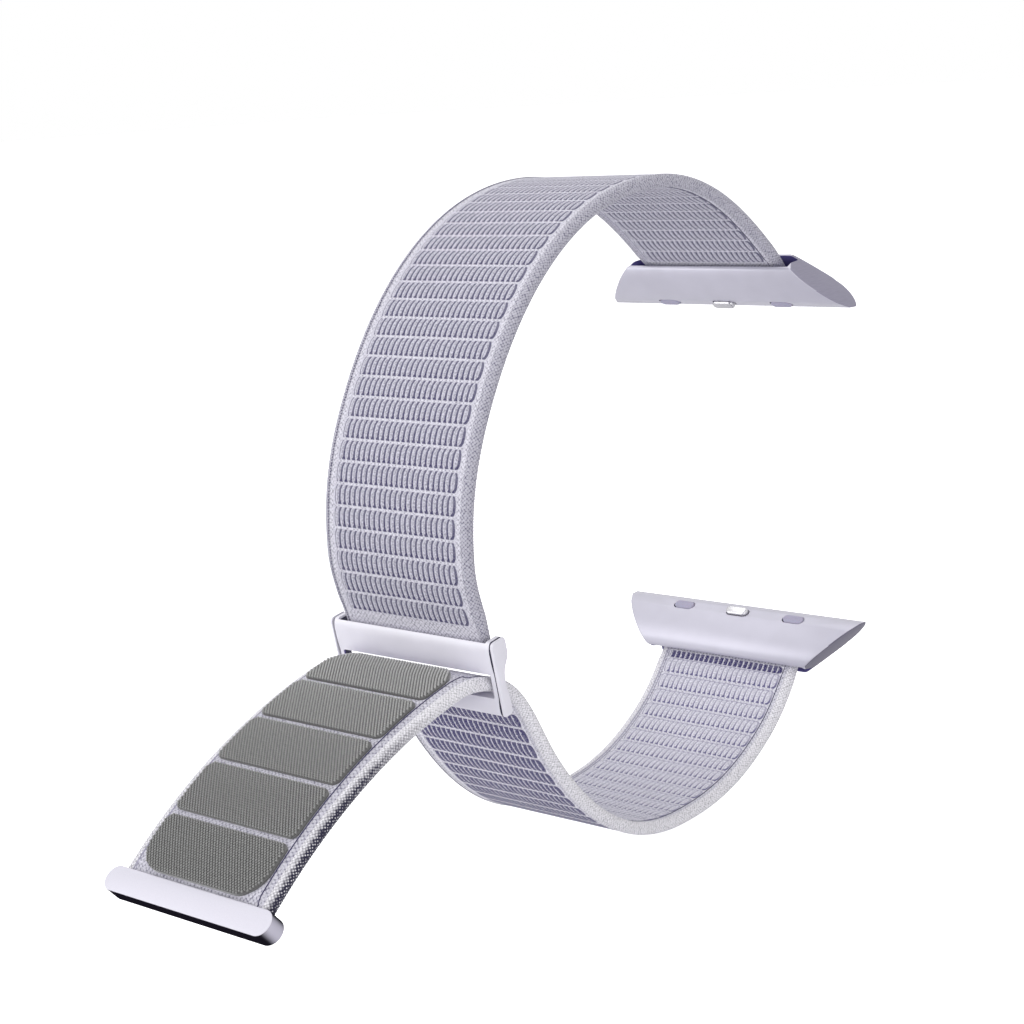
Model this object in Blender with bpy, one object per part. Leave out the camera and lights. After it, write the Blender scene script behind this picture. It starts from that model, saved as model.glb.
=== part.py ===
"""Woven watch strap: two rail lugs, an upper band, a ring, and a webbing that turns there into a hooked tail.

The strap lies in its worn loop with the tail open. X runs across the webbing, Y from the wrist towards the
watch, and Z up. The origin is the middle of the upper rail's flat end face.
"""

import math

import bmesh
import bpy
from mathutils import Matrix, Vector

# Loop, seen along X
RAIL_SPAN = 0.0396
LOOP_REACH = 0.0632
CROWN_REACH = 0.0277
CROWN_RISE = 0.0174
SHOULDER_REACH = 0.0581
SHOULDER_DROP = 0.0017
FRONT_DROP = 0.0191
EXIT_TILT = math.radians(6)
HEEL_REACH = 0.0105
HEEL_DROP = 0.0128
HEEL_HEADING = math.radians(213)
BOTTOM_REACH = 0.0292
BOTTOM_DROP = 0.0180
TURN_SETBACK = 0.0094
TURN_RISE = 0.0142
SHOULDER_HEADING = math.radians(240)
TURN_HEADING = math.radians(123)
HANDLE_SHARE = 0.37

# Webbing
BAND_WIDTH = 0.0210
PIPING = 0.0015
WEB = 0.0013
HEM = 0.0011
HEM_LENGTH = 0.0030
EYE_WALL = 0.00035
PIN_RADIUS = 0.00035
PIN_FIT = 0.00008
SEAT_GAP = 0.0001
RUN_GAP = 0.0003

# Lug: a rail that slides into a watch, and a mouth that the webbing leaves by
LUG_LEAN = math.radians(47)
LUG_LENGTH = 0.0060
TONGUE_RADIUS = 0.0019
TONGUE_HEIGHT = 0.0017
LUG_BELLY = 0.0021
MOUTH_MARGIN = 0.0010
FLARE_REACH = 0.00645
LUG_TOP = 0.0066
FLARE_SWEEP_SHARE = 0.1
LUG_SOFTNESS = 0.0002
SLOT_LIFT = 0.0005
SLOT_SIDE_GAP = 0.0014
PIN_INSET = 0.0024
LUG_PIN_GRIP = 0.0006
MOUTH_HALF_WIDTH = BAND_WIDTH / 2 + MOUTH_MARGIN
RAIL_HALF_WIDTH = MOUTH_HALF_WIDTH + FLARE_REACH

# Sprung latch and grip pads in the rail's wrist side
LATCH_LENGTH = 0.0032
LATCH_WIDTH = 0.0012
LATCH_PROUD = 0.0005
LATCH_TRAVEL = 0.0005
LATCH_BODY = 0.0009
POCKET_DEPTH = 0.0026
SPRING_RADIUS = 0.00042
SPRING_WALL = 0.00014
GRIP_LENGTH = 0.0030
GRIP_WIDTH = 0.0012
GRIP_DEPTH = 0.0005
GRIP_PROUD = 0.0001
GRIP_PLACE = 0.0085

# Ring
RING_SIDE = 0.00145
RING_WIDTH = BAND_WIDTH + 2 * RING_SIDE
RING_HEIGHT = 0.0085
RING_DEPTH = 0.0023
RING_TILT = math.radians(10)
RING_SETBACK = 0.0021
RING_DROP = 0.0285
RING_SOFTNESS = 0.00025
RING_FRONT_WALL = 0.0006
RING_PIN_BACK = 0.0015
RING_PIN_DOWN = 0.0013
RING_PIN_GRIP = 0.0006
WINDOW_TOP = 0.0037
WINDOW_HEIGHT = 0.00275
WINDOW_SIDE_GAP = 0.0003

# Tail, its hook pads and its end bar
WINDOW_HEADING = math.radians(166)
TAIL_HEADING = math.radians(174)
FOLD_AHEAD = 0.0022
CREST_LENGTH = 0.0030
CREST_BEND = math.radians(18)
TAIL_BEND = math.radians(30)
PAD_COUNT = 5
PAD_LENGTH = 0.0062
PAD_GAP = 0.0007
PAD_SIDE = 0.0017
PAD_WIDTH = BAND_WIDTH - 2 * PAD_SIDE
PAD_THICKNESS = 0.0008
PAD_CORNER = 0.0008
PAD_END_CORNER = 0.0032
PAD_CHAMFER = 0.0002
PAD_LEAD = 0.0004
PAD_MARGIN = 0.0004
BAR_OVERHANG = 0.0015
BAR_LENGTH = BAND_WIDTH + 2 * BAR_OVERHANG
BAR_WIDTH = 0.0028
BAR_THICKNESS = 0.0021
BAR_SOFTNESS = 0.00015
BAR_BITE = 0.0014

# Shapes
OVERRUN = 0.002
ROUND_SIDES = 20
BAR_END_STEPS = 8
STEP = 0.0022
LUG_OUTLINE_SHARES = (
    (0.10, 1.10), (0.45, 1.13), (0.76, 1.10), (0.86, 1.03), (0.90, 0.92), (1.00, -0.29),
    (0.995, -0.42), (0.96, -0.54), (0.86, -0.74), (0.72, -0.88), (0.52, -0.975), (0.30, -1.00), (0.10, -0.95),
)
RING_BACK_SHARES = (
    (0.16, 0.00), (0.87, 0.00), (0.96, 0.02), (1.00, 0.06), (1.00, 0.20), (0.93, 0.27),
    (0.66, 0.38), (0.56, 0.45), (0.52, 0.54), (0.54, 0.66), (0.60, 0.80), (0.62, 0.94),
    (0.59, 0.98), (0.50, 1.00), (0.10, 1.00), (0.02, 0.985), (0.00, 0.96), (0.00, 0.045), (0.05, 0.01),
)


def material(name, colour, roughness, metallic=0.0):
    """A Principled material of one colour, given in linear light."""
    made = bpy.data.materials.new(name)
    made.use_nodes = True
    shader = made.node_tree.nodes["Principled BSDF"]
    shader.inputs["Base Color"].default_value = (*colour, 1.0)
    shader.inputs["Roughness"].default_value = roughness
    shader.inputs["Metallic"].default_value = metallic
    made.diffuse_color = (*colour, 1.0)
    return made


def across(point):
    """A (Y, Z) pair as a place on the middle plane."""
    return Vector((0, point[0], point[1]))


def toward(heading):
    """The direction of a heading, measured from +Y towards +Z."""
    return Vector((0, math.cos(heading), math.sin(heading)))


def axes(origin, first, second):
    """A matrix with its local x and y along two directions."""
    third = first.cross(second)
    turn = Matrix((first, second, third)).transposed().to_4x4()
    return Matrix.Translation(origin) @ turn


def add_object(name, bm, place, finish=None, smooth_angle=math.radians(35)):
    """A mesh object from a bmesh, placed, closed and facing out."""
    bmesh.ops.transform(bm, matrix=place, verts=bm.verts)
    bmesh.ops.recalc_face_normals(bm, faces=bm.faces)
    mesh = bpy.data.meshes.new(name)
    bm.to_mesh(mesh)
    bm.free()
    mesh.shade_smooth()
    mesh.set_sharp_from_angle(angle=smooth_angle)
    made = bpy.data.objects.new(name, mesh)
    bpy.context.collection.objects.link(made)
    if finish:
        mesh.materials.append(finish)
    return made


def prism_mesh(outline, low, high):
    """The outline, in local x and y, drawn out along local z."""
    bm = bmesh.new()
    face = bm.faces.new([bm.verts.new((x, y, low)) for x, y in outline])
    drawn = bmesh.ops.extrude_face_region(bm, geom=[face])["geom"]
    far = [v for v in drawn if isinstance(v, bmesh.types.BMVert)]
    bmesh.ops.translate(bm, vec=(0, 0, high - low), verts=far)
    return bm


def circle(radius, sides=ROUND_SIDES, centre=(0, 0)):
    turns = [2 * math.pi * i / sides for i in range(sides)]
    return [(centre[0] + radius * math.cos(t), centre[1] + radius * math.sin(t)) for t in turns]


def stadium(length, width, steps=6):
    """A slot outline: two straight sides and two round ends, long in x."""
    radius = width / 2
    reach = length / 2 - radius
    outline = []
    for end in (1, -1):
        for i in range(steps + 1):
            turn = end * (i * math.pi / steps - math.pi / 2)
            if end > 0:
                outline.append((reach + radius * math.cos(turn), radius * math.sin(turn)))
            else:
                outline.append((-reach - radius * math.cos(turn), radius * math.sin(turn)))
    return outline


def rectangle(low, high):
    return [(low[0], low[1]), (high[0], low[1]), (high[0], high[1]), (low[0], high[1])]


def soften(target, width):
    """Rounds the sharp edges that a solid has before it is cut."""
    bevel = target.modifiers.new("softness", "BEVEL")
    bevel.width = width
    bevel.segments = 2
    bevel.limit_method = "ANGLE"
    bevel.angle_limit = math.radians(40)


def combine(target, tool, operation):
    """Cuts the tool from the target, or fuses it on, and hides the tool."""
    step = target.modifiers.new(tool.name, "BOOLEAN")
    step.operation = operation
    step.object = tool
    step.solver = "EXACT"
    tool.hide_render = True
    tool.display_type = "WIRE"


def carry(pieces, empty, pivot):
    """Hangs pieces on an empty at a joint's axis, with their origins there."""
    for piece in pieces:
        piece.data.transform(Matrix.Translation(-pivot))
        piece.parent = empty


def joint_empty(name, pivot, parent=None, parent_pivot=None):
    empty = bpy.data.objects.new(name, None)
    empty.empty_display_size = PIPING
    bpy.context.collection.objects.link(empty)
    if parent:
        empty.parent = parent
        empty.location = pivot - parent_pivot
    else:
        empty.location = pivot
    return empty


class Route:
    """A line that webbing follows, sampled closely, with its length and heading."""

    def __init__(self, samples):
        self.points = [samples[0][0]]
        self.headings = [samples[0][1]]
        self.lengths = [0.0]
        for point, heading in samples[1:]:
            step = (point - self.points[-1]).length
            if step > 0:
                self.lengths.append(self.lengths[-1] + step)
                self.points.append(point)
                self.headings.append(heading)

    @property
    def length(self):
        return self.lengths[-1]

    def at(self, along):
        """The place and heading this far along, carried straight on past either end."""
        last = len(self.lengths) - 1
        i = next((k for k in range(1, last) if self.lengths[k] > along), last)
        share = (along - self.lengths[i - 1]) / (self.lengths[i] - self.lengths[i - 1])
        inside = min(max(share, 0), 1)
        heading = self.headings[i - 1] + inside * (self.headings[i] - self.headings[i - 1])
        point = self.points[i - 1].lerp(self.points[i], inside)
        beyond = (share - inside) * (self.lengths[i] - self.lengths[i - 1])
        return point + beyond * toward(heading), heading


def knotted_route(knots, samples=24):
    """A route through (place, heading) knots, curved between each pair."""
    found = []
    for (start, out), (end, arrival) in zip(knots, knots[1:]):
        reach = HANDLE_SHARE * (end - start).length
        first, second = start + reach * toward(out), end - reach * toward(arrival)
        for i in range(samples + 1):
            t = i / samples
            u = 1 - t
            point = u * u * u * start + 3 * u * u * t * first + 3 * u * t * t * second + t * t * t * end
            slope = u * u * (first - start) + 2 * u * t * (second - first) + t * t * (end - second)
            heading = math.atan2(slope.z, slope.y) % (2 * math.pi)
            found.append((point, heading))
    return Route(found)


def bent_route(start, heading, stretches, samples=24):
    """A route of arcs, each a (length, bend) pair."""
    found = [(start, heading)]
    for length, bend in stretches:
        for i in range(samples):
            point, now = found[-1]
            middle = now + bend / samples / 2
            found.append((point + length / samples * toward(middle), now + bend / samples))
    return Route(found)


def stations(low, high, *extra):
    """Even places from low to high at about one step, with the extra ones among them."""
    count = max(2, round((high - low) / STEP))
    even = [low + (high - low) * i / count for i in range(count + 1)]
    near = STEP / 4
    kept = [s for s in even if s in (even[0], even[-1]) or all(abs(s - e) > near for e in extra)]
    return sorted(kept + [e for e in extra if low < e < high])


def ribbon(name, route, places, section, out, finish, smooth_angle=math.radians(40)):
    """Sweeps section(s), a closed list of (across, out) points, along the route.

    out is 1 where the loop's outside is to the right of the way, and -1 where it is to the left.
    """
    bm = bmesh.new()
    loops = []
    for s in places:
        point, heading = route.at(s)
        outward = out * toward(heading - math.pi / 2)
        loops.append([bm.verts.new(point + Vector((x, 0, 0)) + h * outward) for x, h in section(s)])
    for first, second in zip(loops, loops[1:]):
        for i in range(len(first)):
            j = (i + 1) % len(first)
            bm.faces.new((first[i], first[j], second[j], second[i]))
    bm.faces.new(loops[0])
    bm.faces.new(reversed(loops[-1]))
    return add_object(name, bm, Matrix(), finish, smooth_angle)


def band_section(half_width, piping, web, steps=5):
    """The webbing cut across: a flat web between two piped edges."""
    radius = piping / 2
    centre = half_width - radius
    side = [
        (centre + radius * math.cos(turn), radius * math.sin(turn))
        for turn in (i * math.pi / steps - math.pi / 2 for i in range(steps + 1))
    ]
    inner = half_width - piping
    right = [(inner, -web / 2), *side, (inner, web / 2)]
    left = [(-x, -h) for x, h in right]
    return right + left


EYE_RADIUS = PIN_RADIUS + PIN_FIT + EYE_WALL
BORE_RADIUS = PIN_RADIUS + PIN_FIT


def hemmed(distance):
    """The piping's and the web's thickness at a distance from an eye."""
    share = min(max((distance - EYE_RADIUS) / HEM_LENGTH, 0), 1)
    return HEM + share * (PIPING - HEM), HEM + share * (WEB - HEM)


def add_eye(band, pivot):
    """Fuses a bored eye round a pin onto the end of a band."""
    side = axes(pivot, Vector((0, 1, 0)), Vector((0, 0, 1)))
    half = BAND_WIDTH / 2 - PIPING / 2
    eye = add_object(band.name + "_eye", prism_mesh(circle(EYE_RADIUS), -half, half), side)
    bore_half = BAND_WIDTH / 2 + OVERRUN
    bore = add_object(band.name + "_bore", prism_mesh(circle(BORE_RADIUS), -bore_half, bore_half), side)
    combine(band, eye, "UNION")
    combine(band, bore, "DIFFERENCE")


def pin(name, pivot, half, finish):
    side = axes(pivot, Vector((0, 1, 0)), Vector((0, 0, 1)))
    return add_object(name, prism_mesh(circle(PIN_RADIUS), -half, half), side, finish)


class Lug:
    """One end fitting. flip is 1 for the upper lug and -1 for its mirror image below."""

    def __init__(self, name, base, flip):
        self.name = name
        self.along = Vector((0, -math.sin(LUG_LEAN), flip * math.cos(LUG_LEAN)))
        self.out = Vector((0, math.cos(LUG_LEAN), flip * math.sin(LUG_LEAN)))
        self.root = Vector((0, 0, base + flip * TONGUE_HEIGHT))
        self.base = base
        self.flip = flip
        self.pivot = self.root + (LUG_LENGTH - PIN_INSET) * self.along + SLOT_LIFT * self.out
        self.heading = math.atan2(self.along.z, self.along.y) % (2 * math.pi)

    def place(self, along=0.0, out=0.0):
        """Local x along the lug, y out of the wrist side's back, z across."""
        return axes(self.root + along * self.along + out * self.out, self.along, self.out)

    def outline(self):
        """Round the rail, up the watch side, over the mouth and down the wrist side."""
        turns = range(-2, 5)
        rail = [
            (-TONGUE_RADIUS * math.cos(i * math.pi / 8), TONGUE_RADIUS * math.sin(i * math.pi / 8))
            for i in turns
        ]
        rest = [
            (a * LUG_LENGTH, b * (TONGUE_RADIUS if b > 0 else LUG_BELLY)) for a, b in LUG_OUTLINE_SHARES
        ]
        return rail + rest

    def body(self, finish):
        reach = RAIL_HALF_WIDTH + OVERRUN
        made = prism_mesh(self.outline(), -reach, reach)
        bmesh.ops.transform(made, matrix=self.place(), verts=made.verts)
        sweep = -FLARE_SWEEP_SHARE * LUG_TOP
        top = self.base + self.flip * LUG_TOP
        cuts = [(Vector((0, 0, self.base)), Vector((0, 0, -self.flip)))]
        for side in (1, -1):
            normal = Vector((side * LUG_TOP, sweep, self.flip * FLARE_REACH))
            cuts.append((Vector((side * MOUTH_HALF_WIDTH, 0, top)), normal))
        for point, normal in cuts:
            geometry = [*made.verts, *made.edges, *made.faces]
            bmesh.ops.bisect_plane(made, geom=geometry, plane_co=point, plane_no=normal, clear_outer=True)
            bmesh.ops.holes_fill(made, edges=[e for e in made.edges if e.is_boundary], sides=0)
        made = add_object(self.name + "_body", made, Matrix(), finish)
        soften(made, LUG_SOFTNESS)
        self.cut_slot(made)
        self.cut_pockets(made)
        return made

    def cut_slot(self, body):
        """The mouth's slot, round at the pin, and the pin's two blind holes."""
        half_gap = PIPING / 2 + RUN_GAP
        depth = PIN_INSET + half_gap
        half = BAND_WIDTH / 2 + SLOT_SIDE_GAP
        slot = prism_mesh(stadium(2 * depth, 2 * half_gap), -half, half)
        far = [v for v in slot.verts if v.co.x > 0]
        bmesh.ops.translate(slot, vec=(OVERRUN, 0, 0), verts=far)
        mouth = self.place(LUG_LENGTH, SLOT_LIFT)
        combine(body, add_object(self.name + "_slot", slot, mouth), "DIFFERENCE")
        reach = self.pin_half() + SEAT_GAP
        hole = prism_mesh(circle(PIN_RADIUS + PIN_FIT), -reach, reach)
        place = self.place(LUG_LENGTH - PIN_INSET, SLOT_LIFT)
        combine(body, add_object(self.name + "_pin_hole", hole, place), "DIFFERENCE")

    def pin_half(self):
        return BAND_WIDTH / 2 + SLOT_SIDE_GAP + LUG_PIN_GRIP

    def land(self):
        """How far the wrist side's flat land lies below the lug's middle."""
        return LUG_BELLY - LATCH_PROUD / 2

    def cut_pockets(self, body):
        """A flat land on the rail's wrist side, with the latch's and the grip pads' pockets."""
        outer = LUG_BELLY + OVERRUN
        wells = [(0.0, LATCH_LENGTH, LATCH_WIDTH, POCKET_DEPTH)]
        wells += [(side * GRIP_PLACE, GRIP_LENGTH, GRIP_WIDTH, GRIP_DEPTH) for side in (1, -1)]
        for i, (x, length, width, depth) in enumerate(wells):
            shape = stadium(length + 2 * SEAT_GAP, width + 2 * SEAT_GAP)
            well = prism_mesh(shape, -outer, -self.land() + depth)
            combine(body, add_object(f"{self.name}_well_{i}", well, self.well_place(x)), "DIFFERENCE")

    def well_place(self, x):
        """Local x across, y along the lug, z out of its back."""
        turn = Matrix((Vector((1, 0, 0)), self.along, self.out)).transposed().to_4x4()
        return Matrix.Translation(self.root + Vector((x, 0, 0))) @ turn

    def latch(self, finish):
        low = -self.land() - LATCH_PROUD
        high = -self.land() + LATCH_BODY
        shape = prism_mesh(stadium(LATCH_LENGTH, LATCH_WIDTH), low, high)
        return add_object(self.name + "_latch", shape, self.well_place(0), finish)

    def spring(self, finish):
        """A coil's sleeve behind the latch, at its pressed length."""
        low = -self.land() + LATCH_BODY + LATCH_TRAVEL + SEAT_GAP
        high = -self.land() + POCKET_DEPTH - SEAT_GAP
        shape = prism_mesh(circle(SPRING_RADIUS), low, high)
        made = add_object(self.name + "_latch_spring", shape, self.well_place(0), finish)
        bore = prism_mesh(circle(SPRING_RADIUS - SPRING_WALL), low - OVERRUN, high + OVERRUN)
        combine(made, add_object(self.name + "_spring_bore", bore, self.well_place(0)), "DIFFERENCE")
        return made

    def grip(self, side, x, finish):
        low = -self.land() - GRIP_PROUD
        high = -self.land() + GRIP_DEPTH - SEAT_GAP
        shape = prism_mesh(stadium(GRIP_LENGTH, GRIP_WIDTH), low, high)
        return add_object(f"{self.name}_pad_{side}", shape, self.well_place(x), finish)

    def fixed_pieces(self, shell, steel, silicone):
        return [
            self.body(shell),
            pin(self.name + "_pin", self.pivot, self.pin_half(), steel),
            self.spring(steel),
            self.grip("left", -GRIP_PLACE, silicone),
            self.grip("right", GRIP_PLACE, silicone),
        ]


class Ring:
    """The frame that ends the upper band and that the webbing turns through."""

    def __init__(self):
        self.back = Vector((0, math.cos(RING_TILT), math.sin(RING_TILT)))
        self.down = Vector((0, math.sin(RING_TILT), -math.cos(RING_TILT)))
        self.pivot = across((-(LOOP_REACH - RING_SETBACK), -RING_DROP))
        self.corner = self.pivot - RING_PIN_BACK * self.back - RING_PIN_DOWN * self.down
        middle = RING_BACK_SHARES[8][0] * RING_DEPTH / 2
        self.window = self.corner + middle * self.back + (WINDOW_TOP + WINDOW_HEIGHT / 2) * self.down
        self.half_window = BAND_WIDTH / 2 + WINDOW_SIDE_GAP

    def place(self):
        """Local x to the ring's back, y down its front."""
        return axes(self.corner, self.back, self.down)

    def frame(self, finish):
        outline = [(a * RING_DEPTH, b * RING_HEIGHT) for a, b in RING_BACK_SHARES]
        shape = prism_mesh(outline, -RING_WIDTH / 2, RING_WIDTH / 2)
        made = add_object("ring_frame", shape, self.place(), finish)
        soften(made, RING_SOFTNESS)
        half = self.half_window
        beyond = RING_DEPTH + OVERRUN
        cuts = {
            "ring_window": rectangle((-OVERRUN, WINDOW_TOP), (beyond, WINDOW_TOP + WINDOW_HEIGHT)),
            "ring_channel": [
                (RING_FRONT_WALL - RUN_GAP, -OVERRUN),
                (RING_FRONT_WALL - RUN_GAP, 0),
                (RING_FRONT_WALL, RING_PIN_DOWN),
                (RING_FRONT_WALL, RING_PIN_DOWN + EYE_RADIUS + RUN_GAP),
                (beyond, RING_PIN_DOWN + EYE_RADIUS + RUN_GAP),
                (beyond, -OVERRUN),
            ],
        }
        for name, shape in cuts.items():
            combine(made, add_object(name, prism_mesh(shape, -half, half), self.place()), "DIFFERENCE")
        reach = half + RING_PIN_GRIP + SEAT_GAP
        bore = circle(PIN_RADIUS + PIN_FIT, centre=(RING_PIN_BACK, RING_PIN_DOWN))
        hole = prism_mesh(bore, -reach, reach)
        combine(made, add_object("ring_pin_hole", hole, self.place()), "DIFFERENCE")
        return made


def upper_band(lug, ring, finish):
    front = across((-LOOP_REACH, -FRONT_DROP))
    route = knotted_route(
        [
            (lug.pivot, lug.heading),
            (across((-CROWN_REACH, CROWN_RISE)), math.pi),
            (across((-SHOULDER_REACH, -SHOULDER_DROP)), SHOULDER_HEADING),
            (front, 1.5 * math.pi),
            (ring.pivot, 1.5 * math.pi + RING_TILT),
        ]
    )
    start = BORE_RADIUS + EYE_WALL / 2
    end = route.length - start

    def section(s):
        return band_section(BAND_WIDTH / 2, *hemmed(min(s, route.length - s)))

    places = stations(start, end, start + HEM_LENGTH, end - HEM_LENGTH)
    band = ribbon("upper_band", route, places, section, 1, finish)
    add_eye(band, lug.pivot)
    add_eye(band, ring.pivot)
    return band


def lower_route(lug, ring):
    bottom = -RAIL_SPAN - BOTTOM_DROP
    return knotted_route(
        [
            (lug.pivot, lug.heading + EXIT_TILT),
            (across((-HEEL_REACH, -RAIL_SPAN - HEEL_DROP)), HEEL_HEADING),
            (across((-BOTTOM_REACH, bottom)), math.pi),
            (across((ring.window.y + TURN_SETBACK, bottom + TURN_RISE)), TURN_HEADING),
            (ring.window, WINDOW_HEADING),
            (ring.window + FOLD_AHEAD * toward((WINDOW_HEADING + TAIL_HEADING) / 2), TAIL_HEADING),
        ]
    )


def lower_band(route, lug, fold, finish):
    start = BORE_RADIUS + EYE_WALL / 2

    def section(s):
        return band_section(BAND_WIDTH / 2, *hemmed(s))

    places = stations(start, route.length, start + HEM_LENGTH)
    band = ribbon("lower_band", route, places, section, -1, finish)
    add_eye(band, lug.pivot)
    half = BAND_WIDTH / 2 + OVERRUN
    side = axes(fold, Vector((0, 1, 0)), Vector((0, 0, 1)))
    knuckle = prism_mesh(circle(PIPING / 2 + SEAT_GAP), -half, half)
    combine(band, add_object("lower_band_knuckle", knuckle, side), "DIFFERENCE")
    return band


def tail_length():
    pads = PAD_COUNT * PAD_LENGTH + (PAD_COUNT - 1) * PAD_GAP
    return PAD_LEAD + pads + PAD_MARGIN + BAR_BITE


def tail_route(fold):
    rest = tail_length() - CREST_LENGTH
    return bent_route(fold, TAIL_HEADING, [(CREST_LENGTH, CREST_BEND), (rest, TAIL_BEND)])


def tail_band(route, finish):
    """The webbing past the fold, with a full-round end on the fold's axis."""
    radius = PIPING / 2
    nose = [-radius * math.cos(i * math.pi / 10) for i in range(1, 5)]

    def section(s):
        share = math.sqrt(max(1 - (s / radius) ** 2, 0)) if s < 0 else 1
        return [(x, h * share) for x, h in band_section(BAND_WIDTH / 2, PIPING, WEB)]

    return ribbon("tail_band", route, [*nose, *stations(0, route.length)], section, -1, finish)


def pad_half_width(distance, corner):
    """Half the pad's width at a distance from an end with round corners."""
    if distance >= corner:
        return PAD_WIDTH / 2
    inset = corner - max(distance, 0)
    return PAD_WIDTH / 2 - corner + math.sqrt(corner**2 - inset**2)


def hook_pad(index, route, finish):
    low = PAD_LEAD + index * (PAD_LENGTH + PAD_GAP)
    high = low + PAD_LENGTH
    first = PAD_END_CORNER if index == 0 else PAD_CORNER
    last = PAD_END_CORNER if index == PAD_COUNT - 1 else PAD_CORNER
    bottom = WEB / 2 + SEAT_GAP
    top = bottom + PAD_THICKNESS

    def section(s):
        half = min(pad_half_width(s - low, first), pad_half_width(high - s, last))
        right = [(half, -bottom), (half, PAD_CHAMFER - top), (half - PAD_CHAMFER, -top)]
        return right + [(-x, h) for x, h in reversed(right)]

    turns = [1 - math.cos(i * math.pi / 8) for i in range(1, 5)]
    corners = [low + first * t for t in turns] + [high - last * t for t in turns]
    places = stations(low, high, *corners)
    return ribbon(f"hook_pad_{index + 1}", route, places, section, -1, finish)


def end_bar(route, finish):
    """The bar across the tail's end, slotted for the webbing."""
    point, heading = route.at(tail_length() - BAR_BITE + BAR_WIDTH / 2)
    outward = toward(heading + math.pi / 2)
    turn = Matrix((Vector((1, 0, 0)), toward(heading), outward)).transposed().to_4x4()
    place = Matrix.Translation(point) @ turn
    half = BAR_THICKNESS / 2
    shape = prism_mesh(stadium(BAR_LENGTH, BAR_WIDTH, BAR_END_STEPS), -half, half)
    made = add_object("end_bar", shape, place, finish)
    soften(made, BAR_SOFTNESS)
    gap = PIPING / 2 + SEAT_GAP
    wide = BAND_WIDTH / 2 + SEAT_GAP
    deep = BAR_BITE + SEAT_GAP - BAR_WIDTH / 2
    slot = prism_mesh(rectangle((-wide, -BAR_WIDTH / 2 - OVERRUN), (wide, deep)), -gap, gap)
    combine(made, add_object("end_bar_slot", slot, place), "DIFFERENCE")
    return made


def build():
    for old in list(bpy.data.objects):
        bpy.data.objects.remove(old, do_unlink=True)

    shell = material("lug_resin", (0.66, 0.65, 0.75), 0.35)
    ring_resin = material("ring_resin", (0.72, 0.71, 0.79), 0.35)
    textile = material("woven_nylon", (0.55, 0.53, 0.66), 0.85)
    hook = material("hook_nylon", (0.16, 0.16, 0.15), 0.7)
    alloy = material("bar_alloy", (0.64, 0.62, 0.70), 0.4, 0.6)
    steel = material("pin_steel", (0.55, 0.55, 0.57), 0.3, 1.0)
    silicone = material("grip_silicone", (0.42, 0.40, 0.52), 0.6)

    upper = Lug("upper_lug", 0.0, 1)
    lower = Lug("lower_lug", -RAIL_SPAN, -1)
    ring = Ring()
    below = lower_route(lower, ring)
    fold = below.points[-1]
    beyond = tail_route(fold)

    root = joint_empty("upper_lug_root", Vector((0, 0, 0)))
    upper_latch = joint_empty("upper_latch_slide", upper.root, root, Vector((0, 0, 0)))
    band_axis = joint_empty("upper_band_axis", upper.pivot, root, Vector((0, 0, 0)))
    ring_axis = joint_empty("ring_axis", ring.pivot, band_axis, upper.pivot)
    lower_axis = joint_empty("lower_band_axis", ring.window, ring_axis, ring.pivot)
    fold_axis = joint_empty("tail_fold_axis", fold, lower_axis, ring.window)
    lug_axis = joint_empty("lower_lug_axis", lower.pivot, lower_axis, ring.window)
    lower_latch = joint_empty("lower_latch_slide", lower.root, lug_axis, lower.pivot)

    carry(upper.fixed_pieces(shell, steel, silicone), root, Vector((0, 0, 0)))
    carry([upper.latch(steel)], upper_latch, upper.root)
    carry([upper_band(upper, ring, textile)], band_axis, upper.pivot)
    ring_pin = pin("ring_pin", ring.pivot, ring.half_window + RING_PIN_GRIP, steel)
    carry([ring.frame(ring_resin), ring_pin], ring_axis, ring.pivot)
    carry([lower_band(below, lower, fold, textile)], lower_axis, ring.window)
    pads = [hook_pad(i, beyond, hook) for i in range(PAD_COUNT)]
    carry([tail_band(beyond, textile), *pads, end_bar(beyond, alloy)], fold_axis, fold)
    carry(lower.fixed_pieces(shell, steel, silicone), lug_axis, lower.pivot)
    carry([lower.latch(steel)], lower_latch, lower.root)


build()
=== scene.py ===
"""Looks of a woven watch strap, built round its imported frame.

Lengths are in metres in the frame's axes: X runs across the webbing, Y from the wrist towards the watch, Z up.
"""

import logging
import math
from bisect import bisect_right
from collections.abc import Callable, Iterable, Sequence
from dataclasses import dataclass, field
from enum import Enum
from functools import cached_property
from typing import ClassVar

import bmesh
import bpy
from bmesh.types import BMEdge, BMesh, BMFace, BMVert
from bpy.types import Material, Mesh, Node, NodeSocket, NodeTree, Object
from mathutils import Matrix, Vector


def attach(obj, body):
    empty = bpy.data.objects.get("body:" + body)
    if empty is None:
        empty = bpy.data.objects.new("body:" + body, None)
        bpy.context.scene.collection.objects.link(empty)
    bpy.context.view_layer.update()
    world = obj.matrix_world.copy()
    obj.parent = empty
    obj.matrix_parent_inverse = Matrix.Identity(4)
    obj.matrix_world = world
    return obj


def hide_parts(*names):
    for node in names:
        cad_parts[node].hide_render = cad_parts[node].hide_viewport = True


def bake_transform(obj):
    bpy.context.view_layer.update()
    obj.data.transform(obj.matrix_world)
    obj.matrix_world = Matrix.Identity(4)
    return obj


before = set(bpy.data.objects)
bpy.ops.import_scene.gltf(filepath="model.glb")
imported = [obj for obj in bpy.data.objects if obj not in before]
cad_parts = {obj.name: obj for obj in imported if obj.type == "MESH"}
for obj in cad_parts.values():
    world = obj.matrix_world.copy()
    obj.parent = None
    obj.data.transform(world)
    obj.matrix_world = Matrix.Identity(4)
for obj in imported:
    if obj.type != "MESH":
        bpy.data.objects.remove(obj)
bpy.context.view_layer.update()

Rgba = tuple[float, float, float, float]
Pair = tuple[float, float]
Trio = tuple[float, float, float]
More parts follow.
